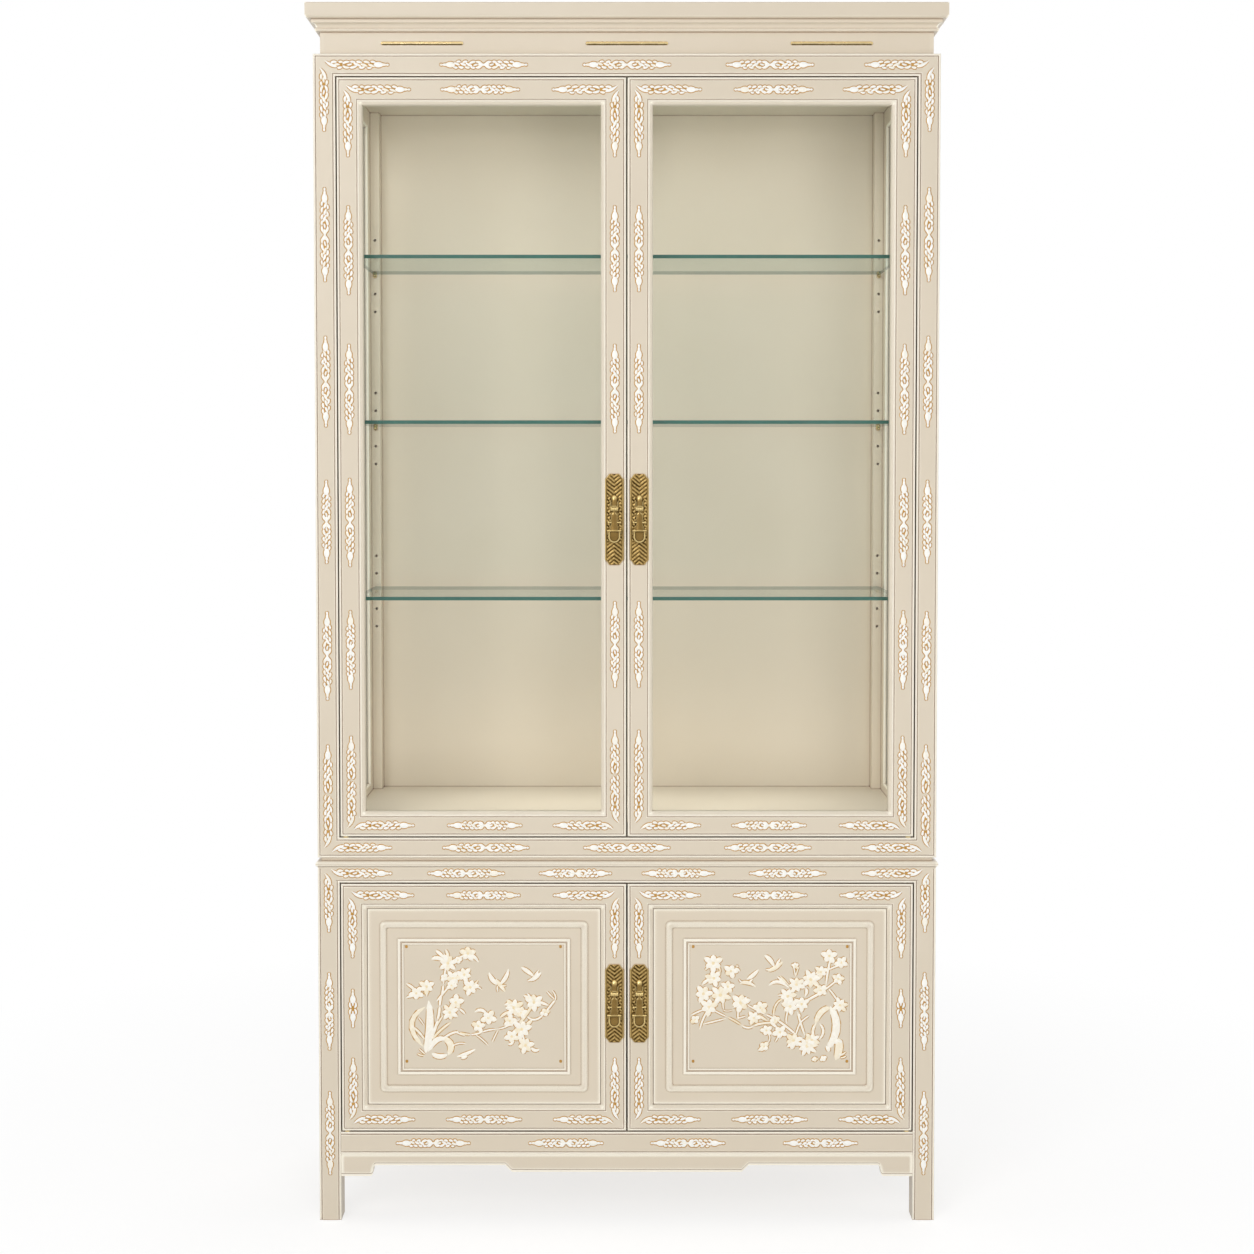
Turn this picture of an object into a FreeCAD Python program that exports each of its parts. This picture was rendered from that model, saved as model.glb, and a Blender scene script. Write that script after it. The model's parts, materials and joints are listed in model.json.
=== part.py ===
import FreeCAD, Part
import math
import os

# Hutch cabinet: a glazed display case standing on a two-door base.
# Millimetres, Z up, front towards -Y, origin on the floor under the middle of the overall box.

Vector = FreeCAD.Vector
X_AXIS = Vector(1, 0, 0)
Y_AXIS = Vector(0, 1, 0)
Z_AXIS = Vector(0, 0, 1)

# Case sizes
BODY_WIDTH = 1016.0
BODY_DEPTH = 400.0
POST_WIDTH = 36.0
POST_DEPTH = 40.0
FRAME_LAYER = 22.0
RAIL_SETBACK = 2.0

# Heights of the base, from the floor up
BRACKET_FOOT = 73.0
APRON_LOW = 80.0
APRON_HIGH = 91.0
APRON_TOP = 110.0
APRON_MIDDLE = 190.0
APRON_BRACKET = 52.0
BASE_BOTTOM_RAIL = 37.5
BASE_DOOR_HEIGHT = 410.5
BASE_TOP_RAIL = 26.0
BASE_SIDE_TOP_RAIL = 36.0
TOP_BOARD = 9.5
TOP_BOARD_FRONT = 2.0
TOP_BOARD_SIDE = 3.0
PLINTH_HEIGHT = 6.0
PLINTH_INSET = 6.0
PLINTH_WIDTH = 44.0

# Heights of the upper case
UPPER_BOTTOM_RAIL = 33.0
GLASS_DOOR_HEIGHT = 1236.0
UPPER_TOP_RAIL = 36.0
FRIEZE_SHOW = 36.5
FRIEZE_INSET = 10.5
FRIEZE_BOARD = 18.0
CORNICE_OUT = 21.5
CORNICE_CAP = 9.0
CORNICE_EDGE = 2.0
FASCIA = 25.0
FASCIA_ROUND = 5.0
CORNICE_STEP = 9.0
CORNICE_FILLET = 6.0
COVE_IN = 7.0
COVE_DROP = 8.0
CORNICE_BEAD = 5.0
CORNICE_BEAD_OUT = 2.0

# Boards and housings
BOARD = 16.0
CEILING_BOARD = 12.0
BACK_BOARD = 8.0
BACK_BOARD_INSET = 2.0
BACK_LAP = 7.5
BACK_RAIL_DEPTH = 24.0
HOUSING = 6.0
FIT = 0.3
STOP_GAP = 0.6
BASE_STOP = 8.0
FLOOR_RISE = 22.0
CEILING_RISE = 3.5
TENON_LENGTH = 16.0
TENON_THICK = 8.0
TENON_INSET = 9.0
MITRE_OVERRUN = 12.0

# Doors
DOOR_GAP = 2.0
MEETING_GAP = 2.5
GLASS_STILE = 41.0
GLASS_TOP_RAIL = 44.0
GLASS_BOTTOM_RAIL = 41.0
PANEL_FRAME = 42.0
DOOR_TENON_NEAR = 6.0
DOOR_TENON_FAR = 30.0
DOOR_TENON_DEPTH = 9.0
PANE = 4.0
PANE_LAP = 7.0
REBATE = 8.0
REBATE_DEPTH = 10.0
GROOVE_DEPTH = 9.0
TONGUE = 6.0
PANEL_FACE = 7.0
PANEL_CLEAR = 1.0
PIVOT_IN = 8.0
PIVOT_BACK = 6.0
PIVOT_RADIUS = 2.2
PIVOT_RUNNING = 0.05
PIVOT_HOLD = 22.0
PIVOT_REACH = 9.5
BUSH_RADIUS = 3.4
BUSH_LENGTH = 10.0
BUSH_FLANGE = 5.0
THRUST_GAP = 0.2

# Edge mouldings of the frames
BEAD = 1.8
QUIRK = 1.0
SHOULDER = 1.2
SIGHT_BEAD = 1.5
THUMB = 5.0
THUMB_DROP = 7.0
THUMB_BULGE = 1.3

# Raised mouldings on the door panels
RING_MARGIN = 21.0
RING_WIDTH = 11.0
RING_HEIGHT = 4.5
RING_CORNER = 8.0
TABLET_MARGIN = 18.0
TABLET_BEAD = 5.0
TABLET_HEIGHT = 3.0
TABLET_GAP = 2.5
TABLET_LINE = 2.5
TABLET_LINE_HEIGHT = 1.6

# Interior of the upper case
GLAZING_DEPTH = 22.0
GLAZING_INNER = 5.0
GLAZING_STILE = 30.0
GLAZING_TOP = 31.0
GLAZING_BOTTOM = 15.0
GLAZING_ROUND = 3.0
PIN_STRIP = 16.5
FRONT_STRIP_BACK = 66.0
FRONT_STRIP_DEPTH = 24.0
BACK_STRIP_DEPTH = 28.0
SHELF_RISES = {"top": 937.5, "middle": 663.5, "bottom": 369.5}
SHELF_GLASS = 6.0
SHELF_SIDE_GAP = 6.0
SHELF_END_GAP = 4.5
PIN_INSET = 8.2
PIN_RADIUS = 2.5
PIN_COLLAR = 3.5
PIN_COLLAR_LENGTH = 2.0
PIN_NOSE = 10.0
PIN_SHANK = 10.0
PIN_HOLE_CLEAR = 0.05
PIN_PITCH = 32.0
PIN_STEPS = [-2, -1, 0, 1, 2]

# Base interior
BASE_SHELF_RISE = 184.5
BASE_SHELF_FRONT = 60.0
CLEAT = 20.0
CLEAT_FRONT = 26.0

# Brass: frieze strips and pulls
STRIP_LENGTH = 133.0
STRIP_HEIGHT = 6.0
STRIP_SEAT = 1.5
STRIP_CROWN = 2.0
STRIP_SPACING = 332.0
PULL_X = 20.5
PLATE_WIDTH = 30.0
PLATE_THICK = 2.0
PLATE_NOTCH_X = 6.6
PLATE_NOTCH_Z = 8.0
PLATE_NOTCH_DISH = 1.0
GLASS_PLATE_HEIGHT = 148.0
GLASS_PLATE_RISE = 520.5
BASE_PLATE_HEIGHT = 129.0
BASE_PLATE_RISE = 212.5
PULL_AXIS_OUT = 5.5
PULL_AXIS_RISE = 17.2
PULL_PIN = 1.1
PULL_RUNNING = 0.06
KNUCKLE = 3.0
KNUCKLE_HALF = 2.8
EAR_GAP = 0.3
EAR_THICK = 3.0
EAR_RADIUS = 3.6
ACORN_RADIUS = 6.0
ACORN_START = 3.8
ACORN_WALL = 8.0
ACORN_TOP = 23.0
ACORN_FULLNESS = 0.6
ARM_DROP = 21.8
ARM_HALF = 9.3
ARM_RADIUS = 1.2
BALL_RADIUS = 1.9
BAR_DROP = 36.0
BAR_RADIUS = 2.2
BAR_HALF = 12.2
BAR_HOOK = 2.6
CUP_HALF = 9.8
CUP_STRAIGHT = 9.2
CUP_THICK = 5.0
CUP_ROUND = 1.2
CUP_RIM = 2.3
CUP_DISH = 1.4
# the shank of the drop: (distance below the pin, half width, half thickness) of each section
SHANK = [
    (0.0, 2.7, 1.9),
    (6.0, 2.7, 1.9),
    (8.5, 5.0, 2.1),
    (15.0, 5.8, 2.3),
    (22.0, 5.0, 2.3),
    (29.0, 6.4, 2.5),
    (35.0, 7.4, 2.8),
]

# Places worked out from the sizes above
PULL_OUT = PLATE_THICK + PULL_AXIS_OUT + EAR_RADIUS
PROJECTION = max(CORNICE_OUT - FRIEZE_INSET, PULL_OUT)
FRONT = PROJECTION - (BODY_DEPTH + PROJECTION) / 2
BACK = FRONT + BODY_DEPTH
HALF = BODY_WIDTH / 2
POST_FACE = HALF - POST_WIDTH
POST_BACK = FRONT + POST_DEPTH
REAR_POST = BACK - POST_DEPTH
BACK_FACE = BACK - BACK_BOARD_INSET - BACK_BOARD
RAIL_OUT = HALF - RAIL_SETBACK
RAIL_IN = RAIL_OUT - FRAME_LAYER
DOOR_OUT = POST_FACE - DOOR_GAP
DOOR_IN = MEETING_GAP / 2
STOP = FRONT + FRAME_LAYER + STOP_GAP

BASE_RAIL_TOP = APRON_TOP + BASE_BOTTOM_RAIL
BASE_DOOR_LOW = BASE_RAIL_TOP + DOOR_GAP
BASE_DOOR_HIGH = BASE_DOOR_LOW + BASE_DOOR_HEIGHT
BASE_TOP_LOW = BASE_DOOR_HIGH + DOOR_GAP
BASE_TOP = BASE_TOP_LOW + BASE_TOP_RAIL
BASE_FLOOR = BASE_RAIL_TOP + BASE_STOP
PLINTH_LOW = BASE_TOP + TOP_BOARD
UPPER_LOW = PLINTH_LOW + PLINTH_HEIGHT
UPPER_RAIL_TOP = UPPER_LOW + UPPER_BOTTOM_RAIL
GLASS_DOOR_LOW = UPPER_RAIL_TOP + DOOR_GAP
GLASS_DOOR_HIGH = GLASS_DOOR_LOW + GLASS_DOOR_HEIGHT
UPPER_TOP_LOW = GLASS_DOOR_HIGH + DOOR_GAP
UPPER_TOP = UPPER_TOP_LOW + UPPER_TOP_RAIL
FLOOR = UPPER_RAIL_TOP + FLOOR_RISE
CEILING = UPPER_TOP_LOW + CEILING_RISE
CORNICE_HEIGHT = FASCIA + CORNICE_FILLET + COVE_DROP + CORNICE_BEAD
CORNICE_LOW = UPPER_TOP + FRIEZE_SHOW
CORNICE_TOP = CORNICE_LOW + CORNICE_HEIGHT
CAP_LOW = CORNICE_TOP - CORNICE_CAP
GLAZING_FACE = RAIL_IN - GLAZING_DEPTH
STRIP_FACE = GLAZING_FACE - PIN_STRIP
BASE_SHELF_LOW = BASE_FLOOR + BASE_SHELF_RISE
FRIEZE_HALF = HALF - FRIEZE_INSET
FRIEZE_FRONT = FRONT + FRIEZE_INSET
PIVOT_X = DOOR_OUT - PIVOT_IN
PIVOT_Y = FRONT + PIVOT_BACK
# the door stops end clear of the arc that the back corner of a hinge stile turns through
STOP_HALF = PIVOT_X - math.hypot(PIVOT_IN, FRAME_LAYER - PIVOT_BACK)
ROUND = 1 - math.sqrt(0.5)


def free_curve(*poles):
    """A smooth curve from the first pole to the last, drawn towards the others."""
    curve = Part.BezierCurve()
    curve.setPoles(list(poles))
    return curve


class Outline:
    """A closed outline of straight runs, arcs and free curves, drawn as (across, depth) pairs."""

    def __init__(self, start):
        self.start = start
        self.here = start
        self.runs = []

    def add(self, maker, *pairs):
        self.runs.append((maker, [self.here, *pairs]))
        self.here = pairs[-1]

    def line(self, to):
        self.add(Part.LineSegment, to)

    def arc(self, through, to):
        self.add(Part.Arc, through, to)

    def curve(self, *pairs):
        self.add(free_curve, *pairs)

    def face(self, origin, across, depth):
        """The closed outline as a flat face."""
        self.line(self.start)
        edges = []
        for maker, pairs in self.runs:
            spots = [origin + across * a + depth * b for a, b in pairs]
            edges.append(maker(*spots).toShape())
        return Part.Face(Part.Wire(edges))

    def extrude(self, origin, across, depth, along):
        """The closed outline carried along a straight run as a solid."""
        return self.face(origin, across, depth).extrude(along)

    def turned(self, origin, radial, axis):
        """The outline of (radius, length along the axis) pairs turned once round the axis."""
        return self.face(origin, radial, axis).revolve(origin, axis, 360)


def box(x0, x1, y0, y1, z0, z1):
    return Part.makeBox(x1 - x0, y1 - y0, z1 - z0, Vector(x0, y0, z0))


def both_sides(solid):
    """The solid and its mirror image across the middle of the cabinet."""
    return [solid, mirrored(solid)]


def mirrored(solid):
    return solid.mirror(Vector(0, 0, 0), X_AXIS)


def joined(first, others):
    return first.multiFuse(others).removeSplitter()


def prism(pairs, origin, a_axis, b_axis, along):
    """A polygon drawn in the plane of two axes and carried along a vector."""
    corners = [origin + a_axis * a + b_axis * b for a, b in pairs]
    return Part.Face(Part.makePolygon(corners + corners[:1])).extrude(along)


def rod(x, y, z0, z1, radius):
    return Part.makeCylinder(radius, z1 - z0, Vector(x, y, z0), Z_AXIS)


# Mouldings

def bead_to_flat(path, at):
    """From the foot of an edge bead, over the quirk and up a soft shoulder to the flat."""
    edge = 2 * BEAD + QUIRK
    path.line(at(edge, BEAD))
    path.line(at(edge, SHOULDER))
    path.arc(at(edge + SHOULDER * ROUND, SHOULDER * ROUND), at(edge + SHOULDER, 0))


def flat_to_bead(path, at):
    """The same moulding run the other way, from the flat to the foot of an edge bead."""
    edge = 2 * BEAD + QUIRK
    path.line(at(edge + SHOULDER, 0))
    path.arc(at(edge + SHOULDER * ROUND, SHOULDER * ROUND), at(edge, SHOULDER))
    path.line(at(edge, BEAD))
    path.line(at(2 * BEAD, BEAD))


def rail_outline(width, last_bead=True):
    """A rail: its face carries a bead and quirk along each edge, or along the first edge only."""
    path = Outline((0, BEAD))
    path.arc((BEAD, 0), (2 * BEAD, BEAD))
    bead_to_flat(path, lambda a, b: (a, b))
    if last_bead:
        flat_to_bead(path, lambda a, b: (width - a, b))
        path.arc((width - BEAD, 0), (width, BEAD))
    else:
        path.line((width, 0))
    path.line((width, FRAME_LAYER))
    path.line((0, FRAME_LAYER))
    return path


def post_outline(front):
    """A corner post: its outer side is moulded; a front post has a corner bead and a moulded front too."""
    path = Outline((BEAD, POST_DEPTH))
    path.arc((0, POST_DEPTH - BEAD), (BEAD, POST_DEPTH - 2 * BEAD))
    bead_to_flat(path, lambda a, b: (b, POST_DEPTH - a))
    if front:
        flat_to_bead(path, lambda a, b: (b, a))
        path.arc((BEAD * ROUND, BEAD * ROUND), (2 * BEAD, BEAD))
        bead_to_flat(path, lambda a, b: (a, b))
        flat_to_bead(path, lambda a, b: (POST_WIDTH - a, b))
        path.arc((POST_WIDTH - BEAD, 0), (POST_WIDTH, BEAD))
    else:
        path.line((0, 0))
        path.line((POST_WIDTH, 0))
    path.line((POST_WIDTH, POST_DEPTH))
    return path


def door_outline(width, glazed):
    """A door member: bead on the outer edge, bead and thumb on the sight edge, rebate or groove behind."""
    path = Outline((0, BEAD))
    path.arc((BEAD, 0), (2 * BEAD, BEAD))
    bead_to_flat(path, lambda a, b: (a, b))
    thumb = width - THUMB
    quirk = thumb - 2 * SIGHT_BEAD - QUIRK
    path.line((quirk - SHOULDER, 0))
    path.arc((quirk - SHOULDER * ROUND, SHOULDER * ROUND), (quirk, SHOULDER))
    path.line((quirk, SIGHT_BEAD))
    path.line((quirk + QUIRK, SIGHT_BEAD))
    path.arc((thumb - SIGHT_BEAD, 0), (thumb, SIGHT_BEAD))
    drop = THUMB_DROP - SIGHT_BEAD
    chord = math.hypot(THUMB, drop)
    middle = (thumb + THUMB / 2 + THUMB_BULGE * drop / chord,
              SIGHT_BEAD + drop / 2 - THUMB_BULGE * THUMB / chord)
    path.arc(middle, (width, THUMB_DROP))
    if glazed:
        path.line((width, REBATE_DEPTH))
        path.line((width - REBATE, REBATE_DEPTH))
        path.line((width - REBATE, FRAME_LAYER))
    else:
        path.line((width, GROOVE_DEPTH))
        path.line((width - REBATE, GROOVE_DEPTH))
        path.line((width - REBATE, GROOVE_DEPTH + TONGUE + FIT))
        path.line((width, GROOVE_DEPTH + TONGUE + FIT))
        path.line((width, FRAME_LAYER))
    path.line((0, FRAME_LAYER))
    return path


def bead_strip_outline(width, depth, rounding):
    """A plain strip with its inner back edge rounded over."""
    path = Outline((0, 0))
    path.line((width, 0))
    path.line((width, depth - rounding))
    path.arc((width - rounding * ROUND, depth - rounding * ROUND), (width - rounding, depth))
    path.line((0, depth))
    return path


def mitred_frame(origin, a_axis, b_axis, width, height, sides, outline):
    """Four members of a rectangular frame, each an outline carried along its side and mitred at the corners."""
    depth = a_axis.cross(b_axis) * -1
    left, right, low, high = sides
    reach = depth * (POST_DEPTH + BEAD)
    start = origin - depth * BEAD
    runs = [
        (origin, a_axis, b_axis * height, left,
         [(0, 0), (left, low), (left, height - high), (0, height)]),
        (origin + a_axis * width, a_axis * -1, b_axis * height, right,
         [(width, 0), (width - right, low), (width - right, height - high), (width, height)]),
        (origin, b_axis, a_axis * width, low,
         [(0, 0), (left, low), (width - right, low), (width, 0)]),
        (origin + b_axis * height, b_axis * -1, a_axis * width, high,
         [(0, height), (left, height - high), (width - right, height - high), (width, height)]),
    ]
    members = []
    for place, across, along, side, corners in runs:
        stick = outline(side).extrude(place, across, depth, along)
        members.append(stick.common(prism(corners, start, a_axis, b_axis, reach)).Solids[0])
    return members


# Case frames

def front_trapezoid(low, high, wide_at_top):
    """The mitred shape of a front rail seen from the front, run past its corners along the mitre lines."""
    wide, narrow = (high, low) if wide_at_top else (low, high)
    lean = (wide - narrow) * MITRE_OVERRUN / POST_WIDTH
    outer, inner = HALF + MITRE_OVERRUN, POST_FACE - MITRE_OVERRUN
    corners = [(-outer, wide + lean), (outer, wide + lean), (inner, narrow - lean), (-inner, narrow - lean)]
    return prism(corners, Y_AXIS * (FRONT - BEAD), X_AXIS, Z_AXIS, Y_AXIS * (FRAME_LAYER + BEAD))


def rail_tenons(low, high):
    """Stub tenons at both ends of a front rail, in one run behind its front layer."""
    reach = POST_FACE + TENON_LENGTH
    return box(-reach, reach, STOP, STOP + TENON_THICK, low + TENON_INSET, high - TENON_INSET)


def front_rail(low, high, stop_low, stop_high, mitre, last_bead=True):
    """A front rail: moulded front layer, a door stop behind it and tenons for the posts."""
    end = HALF + MITRE_OVERRUN if mitre else POST_FACE
    stick = rail_outline(high - low, last_bead).extrude(
        Vector(-end, FRONT, low), Z_AXIS, Y_AXIS, X_AXIS * (2 * end))
    if mitre:
        stick = stick.common(mitre)
    layer_back = FRONT + FRAME_LAYER
    behind = box(-POST_FACE, POST_FACE, layer_back, POST_BACK, low, high)
    stop = box(-STOP_HALF, STOP_HALF, STOP, POST_BACK, stop_low, stop_high)
    return joined(stick, [behind, stop, rail_tenons(low, high)])


def bush_bores(rail, bottom, top):
    """Bores for the two pivot bushes of a rail."""
    for x in (-PIVOT_X, PIVOT_X):
        rail = rail.cut(rod(x, PIVOT_Y, bottom, top, BUSH_RADIUS))
    return rail


def left_post(front, low, high):
    """A left corner post before anything is let into it."""
    y = FRONT if front else BACK
    depth = Y_AXIS if front else Y_AXIS * -1
    return post_outline(front).extrude(Vector(-HALF, y, low), X_AXIS, depth, Z_AXIS * (high - low))


def side_tenon_run(low, high):
    """The run of a side rail's tenons, from inside the front post to inside the back post."""
    return box(-RAIL_IN - TENON_THICK - TENON_INSET, -RAIL_IN - TENON_INSET,
               POST_BACK - TENON_LENGTH, REAR_POST + TENON_LENGTH,
               low + TENON_INSET, high - TENON_INSET)


def side_rail(low, high):
    """A left side rail, moulded outside, with a tenon at each end."""
    stick = rail_outline(high - low).extrude(
        Vector(-RAIL_OUT, POST_BACK, low), Z_AXIS, X_AXIS, Y_AXIS * (REAR_POST - POST_BACK))
    return joined(stick, [side_tenon_run(low, high)])


def cut_all(solid, tools):
    for tool in tools:
        solid = solid.cut(tool)
    return solid


def board_between_posts(low, thick, housed):
    """A floor or ceiling board notched round the posts; its front edge is housed in the front rail."""
    board = box(-RAIL_IN, RAIL_IN, POST_BACK - housed, BACK_FACE, low, low + thick)
    notch = POST_FACE - FIT
    for side in (-1, 1):
        x0, x1 = sorted((side * notch, side * HALF))
        board = board.cut(box(x0, x1, FRONT, POST_BACK + FIT, low, low + thick))
        board = board.cut(box(x0, x1, REAR_POST - FIT, BACK, low, low + thick))
    return board


# The base cabinet

def apron_outline(half_run, mid_half, bracket):
    """The face of an apron: bracket ends by the posts, a raised run and a lower middle, all with soft steps."""
    rise = APRON_HIGH - APRON_LOW
    fall = APRON_HIGH - BRACKET_FOOT
    foot = half_run - bracket
    path = Outline((-half_run, APRON_TOP))
    path.line((half_run, APRON_TOP))
    path.line((half_run, BRACKET_FOOT))
    path.line((foot + fall / 4, BRACKET_FOOT))
    path.arc((foot + fall / 4 * ROUND, BRACKET_FOOT + fall / 4 * ROUND), (foot, BRACKET_FOOT + fall / 4))
    path.line((foot - fall / 12, APRON_HIGH - fall / 4))
    path.arc((foot - fall / 12 - fall / 4 * ROUND, APRON_HIGH - fall / 4 * ROUND),
             (foot - fall / 3, APRON_HIGH))
    if mid_half:
        steps = [(mid_half + rise, APRON_HIGH), (mid_half, APRON_LOW), (-mid_half, APRON_LOW),
                 (-mid_half - rise, APRON_HIGH)]
        for step in steps:
            path.line(step)
    path.line((fall / 3 - foot, APRON_HIGH))
    path.arc((fall / 12 - foot + fall / 4 * ROUND, APRON_HIGH - fall / 4 * ROUND),
             (fall / 12 - foot, APRON_HIGH - fall / 4))
    path.line((-foot, BRACKET_FOOT + fall / 4))
    path.arc((-foot - fall / 4 * ROUND, BRACKET_FOOT + fall / 4 * ROUND), (-foot - fall / 4, BRACKET_FOOT))
    path.line((-half_run, BRACKET_FOOT))
    return path


def apron(half_run, mid_half, bracket, origin, across, inward):
    """An apron board with a quirk that sets off a bead along its shaped lower edge."""
    thick = BOARD + RAIL_SETBACK
    board = apron_outline(half_run, mid_half, bracket).extrude(origin, across, Z_AXIS, inward * thick)
    face = apron_outline(half_run, mid_half, bracket).extrude(origin, across, Z_AXIS, inward * QUIRK)
    up = Z_AXIS * (2 * BEAD)
    raised = face.translated(up)
    field = face.translated(up + Z_AXIS * QUIRK)
    return board.cut(raised.cut(field).common(board))


def raised_ring(x0, x1, z0, z1, y, width, height, corner, rounding):
    """A rounded rectangular moulding standing forward of a panel."""

    def plate(inset, radius):
        block = box(x0 + inset, x1 - inset, y - height, y + BEAD, z0 + inset, z1 - inset)
        upright = [e for e in block.Edges if abs(e.tangentAt(e.FirstParameter).y) > 0.5]
        return block.makeFillet(radius, upright) if radius > 0 else block

    ring = plate(0, corner).cut(plate(width, max(corner - width / 2, 0)))
    crest = [e for e in ring.Edges if max(v.Y for v in e.Vertexes) < y - height + FIT]
    return ring.makeFillet(rounding, crest)


def fielded_panel(x0, x1, z0, z1, front, tablet):
    """A panel with a tongue for its frame, a raised ring and, on the doors, a framed tablet in the middle."""
    tongue = REBATE - PANEL_CLEAR
    tongue_front = front + GROOVE_DEPTH + FIT / 2
    back = tongue_front + TONGUE
    face = front + PANEL_FACE
    board = box(x0 - tongue, x1 + tongue, tongue_front, back, z0 - tongue, z1 + tongue)
    field = box(x0 + PANEL_CLEAR, x1 - PANEL_CLEAR, face, back, z0 + PANEL_CLEAR, z1 - PANEL_CLEAR)
    parts = [field]
    m = RING_MARGIN
    parts.append(raised_ring(x0 + m, x1 - m, z0 + m, z1 - m, face,
                             RING_WIDTH, RING_HEIGHT, RING_CORNER, RING_HEIGHT - FIT))
    if tablet:
        m += RING_WIDTH + TABLET_MARGIN
        parts.append(raised_ring(x0 + m, x1 - m, z0 + m, z1 - m, face,
                                 TABLET_BEAD, TABLET_HEIGHT, 0, TABLET_BEAD / 2 - FIT))
        m += TABLET_BEAD + TABLET_GAP
        parts.append(raised_ring(x0 + m, x1 - m, z0 + m, z1 - m, face,
                                 TABLET_LINE, TABLET_LINE_HEIGHT, 0, TABLET_LINE / 2 - FIT))
    return joined(board, parts)


def base_cabinet():
    nodes = {}
    mitre = front_trapezoid(BASE_TOP_LOW, BASE_TOP, True)
    side_low = side_rail(APRON_TOP, BASE_RAIL_TOP)
    side_high = side_rail(BASE_TOP - BASE_SIDE_TOP_RAIL, BASE_TOP)

    # the side panel stands in grooves of the side rails and posts
    opening_low = BASE_RAIL_TOP
    opening_high = BASE_TOP - BASE_SIDE_TOP_RAIL
    side_half = (REAR_POST - POST_BACK) / 2
    side_middle = Vector(-RAIL_OUT, (REAR_POST + POST_BACK) / 2, 0)
    panel = fielded_panel(-side_half, side_half, opening_low, opening_high, 0.0, False)
    panel = panel.rotated(Vector(0, 0, 0), Z_AXIS, -90).translated(side_middle)
    lap = REBATE
    groove_x = -RAIL_OUT + GROOVE_DEPTH
    groove = box(groove_x, groove_x + TONGUE + FIT, POST_BACK - lap, REAR_POST + lap,
                 opening_low - lap, opening_high + lap)
    side_low = side_low.cut(groove)
    side_high = side_high.cut(groove)
    nodes["base_side_panels"] = both_sides(panel)
    nodes["base_side_rails"] = both_sides(side_low) + both_sides(side_high)

    # front rails
    top_rail = front_rail(BASE_TOP_LOW, BASE_TOP, BASE_TOP_LOW - BASE_STOP, BASE_TOP, mitre, False)
    nodes["base_top_rail"] = [bush_bores(top_rail, BASE_TOP_LOW, BASE_TOP_LOW + BUSH_LENGTH + DOOR_GAP)]
    floor = board_between_posts(BASE_FLOOR - BOARD, BOARD, HOUSING)
    bottom_rail = front_rail(APRON_TOP, BASE_RAIL_TOP, APRON_TOP, BASE_FLOOR, None)
    bottom_rail = bottom_rail.cut(box(-POST_FACE, POST_FACE, POST_BACK - HOUSING, POST_BACK,
                                      BASE_FLOOR - BOARD, BASE_FLOOR))
    nodes["base_bottom_rail"] = [bush_bores(bottom_rail, BASE_RAIL_TOP - BUSH_LENGTH - DOOR_GAP, BASE_RAIL_TOP)]
    nodes["base_floor_board"] = [floor]

    # posts, cut for everything that is let into them
    side_tools = [groove, side_tenon_run(APRON_TOP, BASE_RAIL_TOP), side_tenon_run(opening_high, BASE_TOP)]
    front_tools = side_tools + [mitre, rail_tenons(BASE_TOP_LOW, BASE_TOP), rail_tenons(APRON_TOP, BASE_RAIL_TOP)]
    nodes["base_front_posts"] = both_sides(cut_all(left_post(True, 0, BASE_TOP), front_tools))
    back_rails = [back_rail(APRON_TOP, BASE_FLOOR - BOARD), back_rail(opening_high, BASE_TOP)]
    back_tools = side_tools + back_rails + [back_rebate(APRON_TOP, BASE_TOP)]
    nodes["base_back_posts"] = both_sides(cut_all(left_post(False, 0, BASE_TOP), back_tools))
    nodes["back_rails"] = back_rails

    # aprons
    front_apron = apron(POST_FACE, APRON_MIDDLE, APRON_BRACKET, Y_AXIS * (FRONT + RAIL_SETBACK), X_AXIS, Y_AXIS)
    side_apron = apron(side_half, 0, APRON_BRACKET, side_middle, Y_AXIS, X_AXIS)
    nodes["base_aprons"] = [front_apron] + both_sides(side_apron)

    # inside
    cleat = box(-POST_FACE, -POST_FACE + CLEAT, FRONT + CLEAT_FRONT, BACK_FACE,
                BASE_SHELF_LOW - CLEAT, BASE_SHELF_LOW)
    nodes["base_shelf_cleats"] = both_sides(cleat)
    shelf_half = POST_FACE - DOOR_GAP
    nodes["base_shelf"] = [box(-shelf_half, shelf_half, FRONT + BASE_SHELF_FRONT, BACK_FACE - FIT,
                               BASE_SHELF_LOW, BASE_SHELF_LOW + BOARD)]

    # top board with a rounded nosing, and the recessed strips on it
    edge_x = HALF + TOP_BOARD_SIDE
    board = box(-edge_x, edge_x, FRONT - TOP_BOARD_FRONT, BACK, BASE_TOP, BASE_TOP + TOP_BOARD)
    nosing = [e for e in board.Edges if e.CenterOfMass.y < BACK - FIT
              and abs(e.tangentAt(e.FirstParameter).z) < 0.5]
    nodes["base_top_board"] = [board.makeFillet(TOP_BOARD / 2 - FIT, nosing)]
    x = HALF - PLINTH_INSET
    y0 = FRONT + PLINTH_INSET
    y1 = BACK - PLINTH_INSET
    w = PLINTH_WIDTH
    side_strip = box(-x, -x + w, y0 + w, y1 - w, PLINTH_LOW, UPPER_LOW)
    nodes["locating_plinth"] = [box(-x, x, y0, y0 + w, PLINTH_LOW, UPPER_LOW),
                                box(-x, x, y1 - w, y1, PLINTH_LOW, UPPER_LOW)] + both_sides(side_strip)
    return nodes


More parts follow.
